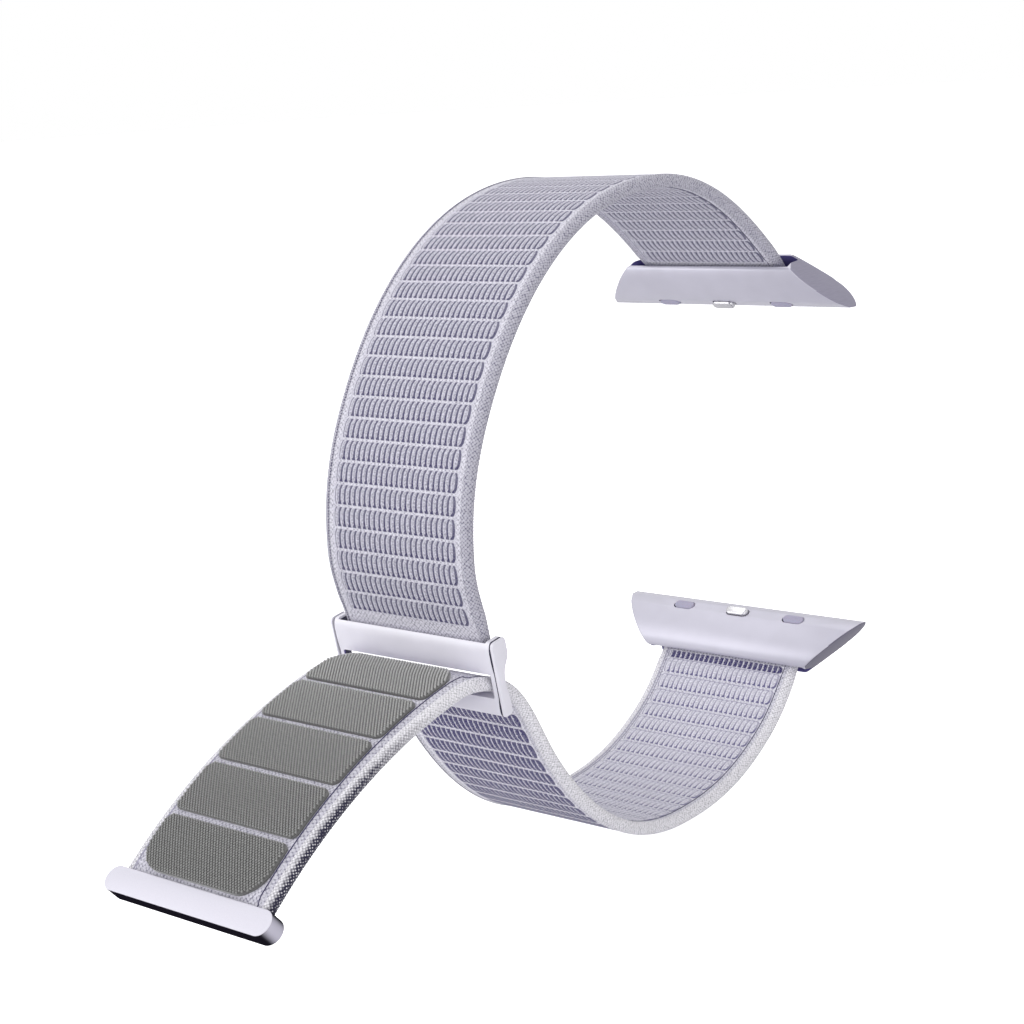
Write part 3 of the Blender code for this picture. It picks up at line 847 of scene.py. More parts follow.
class Palette:
    """Every finish of the strap, made once."""

    def __init__(self) -> None:
        """Makes the materials."""
        self.lacquer = SatinLacquer("lavender_lacquered_nylon", "#c3c1ce", 0.38).build()
        # Painted shade: the lugs' mouth walls and the ring window's end walls take this darker violet lacquer for the
        # shade inside them.
        self.slot = SatinLacquer("shaded_lacquered_nylon", "#6a63a0", 0.5, metallic=0.0).build()
        # Painted shade: the lugs' ends are coloured darker than the lacquer for the shade on them, and the lower
        # lug's ends darker still.
        self.flare_up_shade = BrushedFlare("brushed_lacquered_nylon_painted_shade_upper", "#8f8c9d", 0.42, lean=0.82).build()
        self.flare_down_shade = BrushedFlare("brushed_lacquered_nylon_painted_deeper_shade_lower", "#6d697c", 0.42, lean=-0.82).build()
        self.ring = SatinLacquer("white_lacquered_nylon", "#e4e2ec", 0.34, metallic=0.0).build()
        # Painted shade: the joints between the ring's shell and its end plates are coloured near black for the shade
        # in their grooves.
        self.parting = SatinLacquer("shaded_lacquered_joint", "#3d3a52", 0.6, metallic=0.0).build()
        self.ground = NylonYarn("woven_nylon_ground", "#dddbe6", 0.85, stitch_mm=0.36, gap_depth=0.6).build()
        # Painted shade: each loop's left wall, its tips and the strip by the next loop are drawn in the dark gap
        # colour, and its body darkens towards that strip.
        self.loop = NylonYarn("raised_nylon_loops", "#cfcdda", 0.8, use=Yarn.LOOP, gap_depth=0.98).build()
        # Painted light: a paler copy of the loops, with fainter lines, for the lower band's inside, which the light
        # reaches more.
        self.lit_loop = NylonYarn(
            "raised_nylon_loops_painted_light", "#e6e4ee", 0.8, use=Yarn.LOOP, gap_colour="#3f3975", gap_depth=0.95,
            body_depth=0.20, strip_from=0.74, dot=0.38, fade=0.45, arch=0.55,
        ).build()
        # Painted shade: a copy of the loops with their bodies darkened, for the lower band's outside, which faces
        # away from the light; the slits by the lower lug take its dark too.
        self.shaded_loop = NylonYarn(
            "raised_nylon_loops_painted_shade", "#f0eef6", 0.8, use=Yarn.LOOP, gap_colour="#332c66", gap_depth=0.98,
            body_depth=0.9, strip_from=0.42,
        ).build()
        self.piping = NylonYarn("knitted_nylon_piping", "#c6c4d0", 0.85, use=Yarn.PIPING, gap_depth=0.7).build()
        # Painted light: a paler copy of the piping for the lower band, which the light reaches more.
        self.lit_piping = NylonYarn(
            "knitted_nylon_piping_painted_light", "#f8f6fc", 0.85, use=Yarn.PIPING, gap_colour="#2c2a40", gap_depth=0.42
        ).build()
        self.seam = NylonYarn("dark_nylon_thread", "#37325a", 0.8, use=Yarn.SEAM).build()
        self.pale_seam = NylonYarn("grey_nylon_thread", "#a5a2b8", 0.8, use=Yarn.SEAM).build()
        self.hooks = HookTape("grey_nylon_hook_tape", "#bcbcbb", 0.75).build()
        self.bar = BlastedAlloy("anodised_aluminium_lavender", "#cfcdd8", 0.5, metallic=0.2).build()
        # Painted reflection: the bar's polished edge is drawn near black with no shine for the dark it reflects, and
        # pales towards its round ends for a bright light's reflection.
        self.bar_edge = BlastedAlloy(
            "anodised_aluminium_edge_painted_reflection", "#17151d", 0.5, metallic=0.0, shine=0.0, painted_highlight_colour="#c6c3d2"
        ).build()
        self.steel = TurnedSteel("turned_stainless_steel", "#c9c8cc", 0.28).build()
        self.silicone = Silicone("lavender_silicone", "#a9a5bb", 0.6).build()
        self.floor = PaintedFloor("matt_white_floor_paint", "#f4f4f6", 0.9).build()


# The strap's plan


@dataclass(frozen=True)
class Layout:
    """The sizes that several sub-assemblies share, and the lines and pivots that follow from them."""

    rail_span: float = 0.0396
    band_width: float = 0.0210
    piping: float = 0.0015
    web: float = 0.0013
    pin_radius: float = 0.00035
    pin_fit: float = 0.00008
    eye_wall: float = 0.00035
    seat_gap: float = 0.0001
    run_gap: float = 0.0003
    lug_lean: float = math.radians(47)
    lug_length: float = 0.0060
    tongue_height: float = 0.0017
    slot_lift: float = 0.0005
    pin_inset: float = 0.0024
    exit_tilt: float = math.radians(6)
    handle: float = 0.37
    loop_reach: float = 0.0632
    crown: Pair = (-0.0277, 0.0174)
    shoulder: Pair = (-0.0581, -0.0017)
    shoulder_heading: float = math.radians(240)
    front_drop: float = 0.0191
    heel: Pair = (-0.0105, -0.0524)
    heel_heading: float = math.radians(213)
    bottom: Pair = (-0.0292, -0.0576)
    turn_setback: float = 0.0094
    turn_rise: float = 0.0142
    turn_heading: float = math.radians(123)
    window_heading: float = math.radians(166)
    tail_heading: float = math.radians(174)
    fold_ahead: float = 0.0022
    tail_length: float = 0.0360
    crest_length: float = 0.0030
    crest_bend: float = math.radians(18)
    tail_bend: float = math.radians(30)
    ring_tilt: float = math.radians(10)
    ring_setback: float = 0.0021
    ring_drop: float = 0.0285
    ring_height: float = 0.0085
    ring_depth: float = 0.0023
    ring_pin: Pair = (0.0015, 0.0013)
    ring_middle: float = 0.26
    window_top: float = 0.0037
    window_height: float = 0.00275
    window_side_gap: float = 0.0003

    def lug_axes(self, flip: int) -> tuple[Vector, Vector, Vector]:
        """Gives a lug's root, the way it leans, and the way out of its back. flip is -1 for the lower lug."""
        base = 0.0 if flip > 0 else -self.rail_span
        along = Vector((0, -math.sin(self.lug_lean), flip * math.cos(self.lug_lean)))
        out = Vector((0, math.cos(self.lug_lean), flip * math.sin(self.lug_lean)))
        return across(0, base + flip * self.tongue_height), along, out

    def lug_pivot(self, flip: int) -> Vector:
        """Gives the middle of a lug's pin."""
        root, along, out = self.lug_axes(flip)
        return root + (self.lug_length - self.pin_inset) * along + self.slot_lift * out

    def lug_heading(self, flip: int) -> float:
        """Gives the heading of a lug's mouth."""
        along = self.lug_axes(flip)[1]
        return math.atan2(along.z, along.y) % TURN

    @property
    def ring_back(self) -> Vector:
        """The way from the ring's front to its back."""
        return toward(self.ring_tilt)

    @property
    def ring_down(self) -> Vector:
        """The way down the ring's front."""
        return toward(self.ring_tilt - QUARTER)

    @property
    def ring_pivot(self) -> Vector:
        """The middle of the ring's pin."""
        return across(self.ring_setback - self.loop_reach, -self.ring_drop)

    @property
    def ring_corner(self) -> Vector:
        """The ring's upper front corner."""
        return self.ring_pivot - self.ring_pin[0] * self.ring_back - self.ring_pin[1] * self.ring_down

    @property
    def window(self) -> Vector:
        """The middle of the ring's window."""
        down = self.window_top + self.window_height / 2
        return self.ring_corner + self.ring_middle * self.ring_depth * self.ring_back + down * self.ring_down

    @cached_property
    def upper(self) -> Route:
        """The upper band's line, from its lug to the ring."""
        knots = [
            (self.lug_pivot(1), self.lug_heading(1)),
            (across(*self.crown), math.pi),
            (across(*self.shoulder), self.shoulder_heading),
            (across(-self.loop_reach, -self.front_drop), 3 * QUARTER),
            (self.ring_pivot, 3 * QUARTER + self.ring_tilt),
        ]
        return Route(knotted(knots, self.handle))

    @cached_property
    def lower(self) -> Route:
        """The lower band's line, from its lug to the tail's fold."""
        way = (self.window_heading + self.tail_heading) / 2
        knots = [
            (self.lug_pivot(-1), self.lug_heading(-1) + self.exit_tilt),
            (across(*self.heel), self.heel_heading),
            (across(*self.bottom), math.pi),
            (across(self.window.y + self.turn_setback, self.bottom[1] + self.turn_rise), self.turn_heading),
            (self.window, self.window_heading),
            (self.window + self.fold_ahead * toward(way), self.tail_heading),
        ]
        return Route(knotted(knots, self.handle))

    @cached_property
    def fold(self) -> Vector:
        """Where the tail turns on the lower band."""
        return self.lower.points[-1]

    @cached_property
    def tail(self) -> Route:
        """The tail's line, from its fold."""
        arcs = [(self.crest_length, self.crest_bend), (self.tail_length - self.crest_length, self.tail_bend)]
        return Route(bent(self.fold, self.tail_heading, arcs))

    @cached_property
    def through(self) -> Route:
        """The lower band and the tail as one line."""
        return Route([*self.lower.samples, *self.tail.samples])

    @property
    def eye_radius(self) -> float:
        """The outside of the sewn eye round a pin."""
        return self.pin_radius + self.pin_fit + self.eye_wall


# Textile


@dataclass(frozen=True)
class LoopRow:
    """One row of loops. Each is a ridge at its left edge that slopes down to the next, and its ends hook to +X."""

    count: int = 23
    half_width: float = 0.0087
    length: float = 0.00220
    height: float = 0.00012
    level: float = 0.00011
    depth: float = 0.00015
    hooks: Pair = (0.62, 0.42)
    hook_power: int = 4
    last: Pair = (1.22, 0.30)
    spare: float = 0.40
    tip_from: float = 0.84
    stops: tuple[float, ...] = (0.0, 0.10, 0.32, 0.62, 0.84)
    heights: tuple[float, ...] = (0.10, 0.80, 1.00, 0.66, 0.34)
    v_stops: tuple[float, ...] = (-1.0, -0.93, -0.80, -0.50, 0.0, 0.50, 0.80, 0.93, 1.0)

    @property
    def pitch(self) -> float:
        """From one loop to the next."""
        return 2 * self.half_width / (self.count - 1 + self.last[0])

    def edge(self, k: int, v: float) -> float:
        """Gives where loop k's left edge lies at one place along it, in pitches from the first."""
        curl = abs(v) ** self.hook_power
        hook = self.hooks[v > 0] * curl
        if k < self.count:
            return k + hook
        return self.count - 1 + self.last[0] - (self.last[0] - hook - self.last[1]) * curl

    def raised(self, column: float, v: float) -> Vector:
        """Gives the place of a grid vertex on the row.

        Args:
            column: How far across it lies, in loops.
            v: How far along, from -1 to 1.

        Returns:
            Its place.
        """
        near = 1e-4
        k = round(column) if abs(column - round(column)) < near else math.floor(column)
        end = eased(self.tip_from, 1, abs(v))
        x, z = column, self.level
        if 0 <= k <= self.count and not column > self.count + near:
            u = column - k
            i = min(range(len(self.stops)), key=lambda n: abs(self.stops[n] - u))
            left = self.edge(k, v)
            x = left + u * (self.edge(k + 1, v) - left) if k < self.count else left
            z = self.height * (1 - end) * self.heights[i] + self.level * end
        elif column > self.count:
            x = column - 1 + self.last[0]
        return Vector((x * self.pitch - self.half_width, v * self.length / 2, z))

    def build(self) -> Mesh:
        """Makes a whole closed row, centred on zero, with each loop's own map."""
        count = self.count
        inner = (k + u for k in range(count) for u in self.stops)
        bm = grid_of([-self.spare, *inner, float(count), count + self.spare], self.v_stops)
        layer = bm.loops.layers.uv.new("loop")
        for face in bm.faces:
            k = min(max(math.floor(face.calc_center_median().x), 0), count - 1)
            for corner in face.loops:
                corner[layer].uv = (corner.vert.co.x - k, corner.vert.co.y)
        for vert in bm.verts:
            vert.co = self.raised(*vert.co.xy)
        drawn = bmesh.ops.extrude_edge_only(bm, edges=[e for e in bm.edges if e.is_boundary])["geom"]
        for vert in [v for v in drawn if isinstance(v, BMVert)]:
            vert.co.z = -self.depth
        return frozen("row", closed(bm))


@dataclass
class Webbing:
    """A loop-pile webbing with a ground, rows of loops, two knitted pipings and its seam threads.

    A face is told by its side, which is 1 for the loop's outside and -1 for its inside. rows are each side's count,
    and slits is where a side's row of plain slits lies.
    """

    name: str
    layout: Layout
    finishes: Palette
    route: Route
    out: int
    end: float
    first_row: float
    rows: dict[int, int]
    slits: dict[int, float] = field(default_factory=dict)
    eyes: tuple[float, ...] = (0.0,)
    tail_from: float = 1.0
    carrier: Trio = (9.0, 9.0, 0.0)
    carrier_ease: float = 0.001
    lit_and_shaded_copies: bool = False
    painted_tail_shade: float = 0.14
    ground_shade_fade: float = 0.008
    piping_shade_fade: float = 0.02
    piping_shade: Pair = (0.06, 0.80)
    row: LoopRow = field(default_factory=LoopRow)
    slit_row: LoopRow = field(default_factory=lambda: LoopRow(length=0.0011, hooks=(0.0, 0.0), last=(1.0, 0.0)))
    row_pitch: float = ROW_PITCH
    step: float = 0.0004
    top: float = 0.00070
    floor: float = 0.00060
    ground_half: float = 0.0099
    rim: float = 0.00035
    groove: float = 0.0004
    groove_share: float = 0.4
    row_shares: tuple[float, ...] = (0.0, 0.30, 0.445, 0.465, 0.5)
    well_rims: Pair = (0.00005, 0.00025)
    rib: float = 0.00030
    rib_depth: float = 0.00003
    piping_sides: int = 14
    thread: float = 0.00006
    near_line: float = 0.00895
    far_lines: Pair = (-0.00895, -0.0093)
    stitch_line: float = 0.00965
    stitch_radius: float = 0.00009
    stitch_pitch: float = 0.00030
    hem_length: float = 0.0030
    hem: float = 0.0011

    def __post_init__(self) -> None:
        """Finds where the webbing begins, in the wall of its eye, and where its pipings' middles lie."""
        plan = self.layout
        self.start = plan.pin_radius + plan.pin_fit + plan.eye_wall / 2
        self.piping_line = plan.band_width / 2 - plan.piping / 2

    def centre(self, k: int) -> float:
        """Gives how far along a row's middle lies."""
        return self.first_row + k * self.row_pitch

    def hemmed(self, along: float) -> float:
        """Gives the share of the full thickness there, less near an eye."""
        near = min(abs(along - eye) for eye in self.eyes)
        share = min(max((near - self.layout.eye_radius) / self.hem_length, 0.0), 1.0)
        thin = self.hem / self.layout.piping
        return thin + share * (1 - thin)

    def stops(self) -> list[float]:
        """Gives the ground's lines across, close together where rows begin and end."""
        most = max(self.rows.values())
        first, last = self.centre(0) - self.row_pitch / 2, self.centre(most) - self.row_pitch / 2
        found = {self.start, self.end}
        for k in range(most):
            for share in self.row_shares:
                found |= {self.centre(k) - share * self.row_pitch, self.centre(k) + share * self.row_pitch}
        for place in self.slits.values():
            found |= {place + share * self.slit_row.length / 2 for share in (-1.0, -0.9, 0.9, 1.0)}
        for low, high in ((self.start, first), (last, self.end)):
            found |= {*evenly(low, high, max(2, round((high - low) / self.step)))}
        kept = [s for s in sorted(found) if self.start <= s <= self.end]
        return [s for s, after in zip(kept, [*kept[1:], math.inf]) if after - s > self.step / 20]

    def sunk(self, x: float, along: float, side: int) -> float:
        """Gives 1 in the well under a row of loops, and 0 on the plain ground."""
        aside = 1 - eased(*self.well_rims, abs(x) - self.row.half_width)
        slits = self.slits.get(side, math.inf)
        if abs(along - slits) < self.slit_row.length / 2 - self.step / 20:
            return aside
        k = round((along - self.first_row) / self.row_pitch)
        if not 0 <= k < self.rows[side]:
            return 0.0
        return (1 - eased(*self.row_shares[2:4], abs(along - self.centre(k)) / self.row_pitch)) * aside

    def ground(self) -> BMesh:
        """Makes the flat weave, with a well under each row of loops."""
        edge, half = self.ground_half, self.row.half_width
        side = [edge, edge - self.rim, half + self.well_rims[1], half + self.well_rims[0], half * 0.5]
        bm = grid_of([*(-x for x in side), 0.0, *reversed(side)], self.stops())
        shade = bm.verts.layers.float.new("shade")
        above = doubled(bm)
        for vert in bm.verts:
            side_of = 1 if vert in above else -1
            x, along, _ = vert.co
            full = self.top - (self.top - self.floor) * self.sunk(x, along, side_of)
            groove = eased(edge - self.groove, edge, abs(x))
            thick = full * self.hemmed(along) * (1 - self.groove_share * groove)
            if side_of < 0:
                thick += self.carried(x, along)
            vert.co.z = side_of * thick
            # Painted shade: past the fold the tail's ground darkens.
            vert[shade] = self.painted_tail_shade * eased(self.tail_from, self.tail_from + self.ground_shade_fade, along)
        lay_flat_map(bm)
        bmesh.ops.recalc_face_normals(bm, faces=bm.faces)
        self.route.carry(bm, self.out)
        for eye in self.eyes:
            self.add_eye(bm, self.route.at(eye)[0])
        return bm

    def add_eye(self, bm: BMesh, pivot: Vector) -> None:
        """Spins a sewn eye round a pin."""
        low, high = self.layout.pin_radius + self.layout.pin_fit, self.layout.eye_radius
        half = self.piping_line
        corners = [(-half, low), (half, low), (half, high), (-half, high)]
        verts = [bm.verts.new(pivot + Vector((x, radius, 0))) for x, radius in corners]
        edges = [bm.edges.new((a, b)) for a, b in zip(verts, [*verts[1:], verts[0]])]
        bmesh.ops.spin(bm, geom=[*verts, *edges], cent=pivot, axis=ACROSS, angle=TURN, steps=32, use_merge=True)

    def tube(self, side: int) -> BMesh:
        """Makes one piping, a knitted tube with fine ribs round it."""
        radius = self.layout.piping / 2
        count = round((self.end - self.start) / (self.rib / 3))
        bm = rolled(radius, self.piping_sides, evenly(self.start, self.end, count))
        shade = bm.verts.layers.float.new("shade")
        plain, turned_away = self.piping_shade
        for vert in bm.verts:
            x, along, z = vert.co
            turn = math.atan2(z, x)
            rib = 1 + self.rib_depth / radius * math.sin(TURN * along / self.rib + 2 * turn)
            far = eased(self.tail_from, self.tail_from + self.piping_shade_fade, along)
            # Painted shade: past the fold the piping darkens, most on its side turned outward, away from the light.
            vert[shade] = plain + far * (self.painted_tail_shade + turned_away * eased(0.45, 0.85, side * math.cos(turn)))
            scale = rib * self.hemmed(along)
            vert.co = (side * self.piping_line + x * scale, along, z * scale)
        return self.route.carry(bm, self.out)

    def loops(self, side: int) -> BMesh:
        """Makes every row of loops on one face."""
        bm = bmesh.new()
        kinds = [(self.row, 0, [self.centre(k) for k in range(self.rows[side])])]
        if side in self.slits:
            kinds.append((self.slit_row, 1, [self.slits[side]]))
        for row, index, centres in kinds:
            made = row.build()
            for face in made.polygons:
                face.material_index = index
            for centre in centres:
                for vert in copied(bm, made):
                    vert.co += Vector((0, centre, self.floor))
                    vert.co.z *= self.hemmed(centre)
            bpy.data.meshes.remove(made)
        lay_flat_map(bm)
        if side < 0:
            bmesh.ops.scale(bm, vec=(1, 1, -1), verts=bm.verts)
            bmesh.ops.reverse_faces(bm, faces=bm.faces)
        return self.route.carry(bm, self.out)

    def carried(self, x: float, along: float) -> float:
        """Gives how far the hook tape's carrier lifts the inner ground there."""
        low, high, rise = self.carrier
        laid = eased(low, low + self.carrier_ease, along) * (1 - eased(high - self.carrier_ease, high, along))
        rim = eased(self.row.half_width + self.well_rims[1], self.ground_half - self.rim, abs(x))
        return rise * laid * (1 - rim)

    def seams(self) -> BMesh:
        """Makes the seam threads: a dark one by the near piping, two pale ones by the far one, and far stitches."""
        low, high = self.start + self.hem_length / 2, self.end - self.thread
        ys = evenly(low, high, round((high - low) / self.step))
        bm = bmesh.new()
        threads = [(self.near_line, self.thread, 0), *((x, self.thread * 0.8, 1) for x in self.far_lines)]
        for x, radius, index in threads:
            line = rolled(radius, 6, ys)
            for face in line.faces:
                face.material_index = index
            for vert in line.verts:
                vert.co += Vector((x, 0, -self.top - self.carried(x, vert.co.y)))
            thread = frozen("thread", line)
            bm.from_mesh(thread)
            bpy.data.meshes.remove(thread)
        stitch = Matrix.Diagonal((0.8, 1.1, 1.0, 1.0))
        for i in range(int((high - low) / self.stitch_pitch)):
            place = Vector((-self.stitch_line, low + i * self.stitch_pitch, self.layout.piping / 2))
            matrix = Matrix.Translation(place) @ stitch
            bmesh.ops.create_icosphere(bm, subdivisions=1, radius=self.stitch_radius, matrix=matrix)
        bmesh.ops.recalc_face_normals(bm, faces=bm.faces)
        for vert in bm.verts:
            vert.co.z *= self.hemmed(vert.co.y)
        lay_flat_map(bm)
        return self.route.carry(bm, self.out)

    def build(self) -> list[Object]:
        """Makes every piece of the webbing, the ground first."""
        made = self.finishes
        outer, inner, edging = made.loop, made.loop, made.piping
        # The lower band takes the loops painted with shade outside, and the loops and pipings painted with light
        # inside.
        if self.lit_and_shaded_copies:
            outer, inner, edging = made.shaded_loop, made.lit_loop, made.lit_piping
        pieces = [("ground", self.ground(), [made.ground], math.radians(60))]
        for side, word, finish in ((1, "outer", outer), (-1, "inner", inner)):
            pieces.append((word + "_loops", self.loops(side), [finish, made.shaded_loop], math.radians(75)))
        for side, word in ((1, "near"), (-1, "far")):
            pieces.append((word + "_piping", self.tube(side), [edging], math.pi))
        pieces.append(("seam_threads", self.seams(), [made.seam, made.pale_seam], math.pi))
        return [finished(f"{self.name}_{word}", *rest) for word, *rest in pieces]


@dataclass
class Bands:
    """The upper webbing, and the lower one that runs on through the ring's window as the tail."""

    layout: Layout
    finishes: Palette
    first_row: float = 0.0042
    upper_shift: float = -0.00032
    lower_shift: float = 0.0002
    slits_before: float = 0.00142
    upper_spare: float = 0.0026
    tail_spare: float = 0.0045
    fold_spare: float = 0.0003
    # How far past the fold the painted shade on the tail begins.
    tail_shade_after: float = 0.004
    carrier_short: float = 0.0014
    carrier_rise: float = 0.00035
    bend_reach: float = 0.0016

    def upper(self) -> None:
        """Makes the upper webbing and hangs it on its body."""
        route = self.layout.upper
        start = self.layout.pin_radius + self.layout.pin_fit + self.layout.eye_wall / 2
        rows = int((route.length - self.upper_spare - self.first_row) / ROW_PITCH + 1)
        webbing = Webbing(
            "upper_webbing", self.layout, self.finishes, route, 1, route.length - start,
            self.first_row + self.upper_shift, {1: rows, -1: rows}, eyes=(0.0, route.length),
        )
        ground, *rest = webbing.build()
        report(ground, "upper_band", "woven_nylon", "upper_band")
        for made in rest:
            report(made, "upper_band", "woven_nylon")

    def lower(self) -> None:
        """Makes the lower webbing and the tail as one, along the line that runs through the fold."""
        fold, end = self.layout.lower.length, self.layout.lower.length + self.layout.tail_length
        under = int((end - self.tail_spare - self.first_row) / ROW_PITCH + 0.5)
        over = int((fold - self.fold_spare - self.first_row) / ROW_PITCH + 0.5)
        webbing = Webbing(
            "lower_webbing", self.layout, self.finishes, self.layout.through, -1, end,
            self.first_row + self.lower_shift, {1: under, -1: over}, {-1: self.first_row - self.slits_before},
            tail_from=fold + self.tail_shade_after, carrier=(fold, end - self.carrier_short, self.carrier_rise),
            lit_and_shaded_copies=True,
        )
        pieces = webbing.build()
        way = toward(self.layout.tail_heading) * self.bend_reach
        for made in pieces:
            self.layout.fold - way
            self.layout.fold + way
            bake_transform(made)
            log.info("%s: %d faces across the fold", made.name, len(made.data.polygons))
        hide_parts("lower_band", "tail_band")


# Fittings


@dataclass
class Lug:
    """A lug with its mouth, pin, sprung latch and grip pads. flip is -1 for the lower lug."""

    name: str
    layout: Layout
    finishes: Palette
    flip: int
    tongue_radius: float = 0.0019
    belly: float = 0.0021
    mouth_half: float = 0.0115
    rail_half: float = 0.01795
    top: float = 0.0066
    sweep: float = 0.1
    softness: float = 0.00045
    slot_softness: float = 0.0004
    slot_side_gap: float = 0.0014
    pin_grip: float = 0.0006
    latch_size: Trio = (0.0032, 0.0012, 0.0009)
    latch_proud: float = 0.0005
    latch_travel: float = 0.0005
    pocket_depth: float = 0.0026
    spring_radius: float = 0.00042
    wire: float = 0.00007
    coils: int = 4
    coil_steps: int = 20
    grip_size: Trio = (0.0030, 0.0012, 0.0005)
    grip_proud: float = 0.0001
    grip_place: float = 0.0085
    overrun: float = 0.002
    shares: tuple[Pair, ...] = (
        (0.10, 1.10), (0.45, 1.13), (0.76, 1.10), (0.86, 1.03), (0.90, 0.92), (1.00, -0.29), (0.995, -0.42),
        (0.96, -0.54), (0.86, -0.74), (0.72, -0.88), (0.52, -0.975), (0.30, -1.00), (0.10, -0.95),
    )

    def __post_init__(self) -> None:
        """Finds the lug's own axes, the pads' land, and half of the mouth's height, depth, width and pin."""
        plan = self.layout
        self.root, self.along, self.out = plan.lug_axes(self.flip)
        self.land = self.belly - self.latch_proud / 2
        self.half_gap = plan.piping / 2 + plan.run_gap
        self.depth = plan.pin_inset + self.half_gap
        self.slot_half = plan.band_width / 2 + self.slot_side_gap
        self.pin_half = self.slot_half + self.pin_grip

    def place(self, along: float = 0.0, out: float = 0.0) -> Matrix:
        """Gives local x along the lug, y out of its back and z across."""
        return turned(self.root + along * self.along + out * self.out, self.along, self.out)

    def well_place(self, x: float) -> Matrix:
        """Gives local x across, y along the lug and z out of its back."""
        return turned(self.root + x * ACROSS, ACROSS, self.along, self.out)

    def outline(self) -> list[Pair]:
        """Gives the lug cut across: round the rail, over the mouth and down the wrist side."""
        turns = [i * math.pi / 24 for i in range(-6, 13)]
        rail = [(-self.tongue_radius * math.cos(t), self.tongue_radius * math.sin(t)) for t in turns]
        heights = {True: self.tongue_radius, False: self.belly}
        scaled = [(a * self.layout.lug_length, b * heights[b > 0]) for a, b in self.shares]
        back, mouth = smoothed([rail[-1], *scaled[:5]], 3)[:-1], smoothed(scaled[4:6], 4)[:-1]
        return rail[:-1] + back + mouth + smoothed(scaled[5:], 3)

    def body(self) -> Object:
        """Makes the lug, with soft ends, an open mouth and the latch's and pads' pockets."""
        beyond = self.rail_half + self.overrun
        bm = in_place(prism(self.outline(), -beyond, beyond), self.place())
        base = self.root.z - self.flip * self.layout.tongue_height
        cuts = [(across(0, base), across(0, -self.flip))]
        for side in (1, -1):
            point = Vector((side * self.mouth_half, 0, base + self.flip * self.top))
            rise = self.flip * (self.rail_half - self.mouth_half)
            cuts.append((point, Vector((side * self.top, -self.sweep * self.top, rise))))
        for point, normal in cuts:
            geometry = [*bm.verts, *bm.edges, *bm.faces]
            bmesh.ops.bisect_plane(bm, geom=geometry, plane_co=point, plane_no=normal, clear_outer=True)
            closed(bm)
        ends = [e for e in bm.edges if any(abs(f.normal.x) > 0.5 for f in e.link_faces)]
        soften(bm, ends, self.softness, 4)
        soften(bm, sharp_edges(bm, math.radians(50)), self.softness / 3)
        # The ends take the brushed lacquer painted with shade, darker on the lower lug.
        flare_shade = self.finishes.flare_up_shade if self.flip > 0 else self.finishes.flare_down_shade
        made = finished(self.name + "_shell", bm, [self.finishes.lacquer, flare_shade, self.finishes.slot])
        carved(made, [self.slot(), self.pin_hole(), *self.wells()])
        dress(made, 1, lambda _, normal: abs(normal.x) > 0.5)
        # The mouth's walls take the darker lacquer painted with the shade inside the mouth.
        dress(made, 2, self.in_slot)
        return made

    def in_slot(self, centre: Vector, _: Vector) -> bool:
        """Says whether a face is one of the mouth's own walls."""
        local = self.place(self.layout.lug_length, self.layout.slot_lift).inverted() @ centre
        slack, lip, near = 1.02, 0.0002, 0.00002
        deep = -self.depth * slack < local.x < -lip
        return deep and abs(local.y) < self.half_gap * slack and abs(local.z) < self.slot_half + near

    def slot(self) -> BMesh:
        """Makes the cutter for the mouth, round at the pin and at both ends."""
        bm = prism(stadium(2 * self.depth, 2 * self.half_gap), -self.slot_half, self.slot_half)
        bmesh.ops.translate(bm, vec=(self.overrun, 0, 0), verts=[v for v in bm.verts if v.co.x > 0])
        soften(bm, bm.edges, self.slot_softness)
        return in_place(bm, self.place(self.layout.lug_length, self.layout.slot_lift))

    def pin_hole(self) -> BMesh:
        """Makes the cutter for the pin's two blind holes."""
        bm = rod(self.layout.pin_radius + self.layout.pin_fit, self.pin_half + self.layout.seat_gap)
        return in_place(bm, self.place(self.layout.lug_length - self.layout.pin_inset, self.layout.slot_lift))

    def wells(self) -> list[BMesh]:
        """Makes the cutters for the latch's and the pads' pockets."""
        plans = [(0.0, *self.latch_size[:2], self.pocket_depth)]
        plans += [(side * self.grip_place, *self.grip_size) for side in (1, -1)]
        gap, low = 2 * self.layout.seat_gap, -self.belly - self.overrun
        return [
            in_place(prism(stadium(a + gap, b + gap), low, depth - self.land), self.well_place(x))
            for x, a, b, depth in plans
        ]

    def nub(self, word: str, size: Trio, proud: float, deep: float, x: float, finish: Material) -> Object:
        """Makes a stadium button with a softened face.

        Args:
            word: The piece's name after the lug's.
            size: Its length, width and depth.
            proud: How far its face stands out of the land.
            deep: How far its foot lies below the land.
            x: How far across it stands.
            finish: Its material.

        Returns:
            The piece.
        """
        low, high = -self.land - proud, deep - self.land
        bm = prism(stadium(*size[:2]), low, high)
        soften(bm, rims(bm, low), min(size[1] / 5, (high - low) / 2.5))
        return finished(f"{self.name}_{word}", in_place(bm, self.well_place(x)), [finish])

    def spring(self) -> Object:
        """Winds the latch's coil spring at its pressed length."""
        low = -self.land + self.latch_size[2] + self.latch_travel + self.layout.seat_gap
        high = -self.land + self.pocket_depth - self.layout.seat_gap
        bm = bmesh.new()
        start = turned(Vector((self.spring_radius - self.wire, 0, low + self.wire)), ACROSS, Vector((0, 0, 1)))
        bmesh.ops.create_circle(bm, segments=8, radius=self.wire, matrix=start)
        steps = self.coils * self.coil_steps
        bmesh.ops.spin(
            bm, geom=[*bm.verts, *bm.edges], cent=(0, 0, 0), axis=(0, 0, 1), angle=self.coils * TURN,
            steps=steps, dvec=(0, 0, (high - low - 2 * self.wire) / steps), use_duplicate=False,
        )
        return finished(self.name + "_coil_spring", in_place(closed(bm), self.well_place(0.0)), [self.finishes.steel])

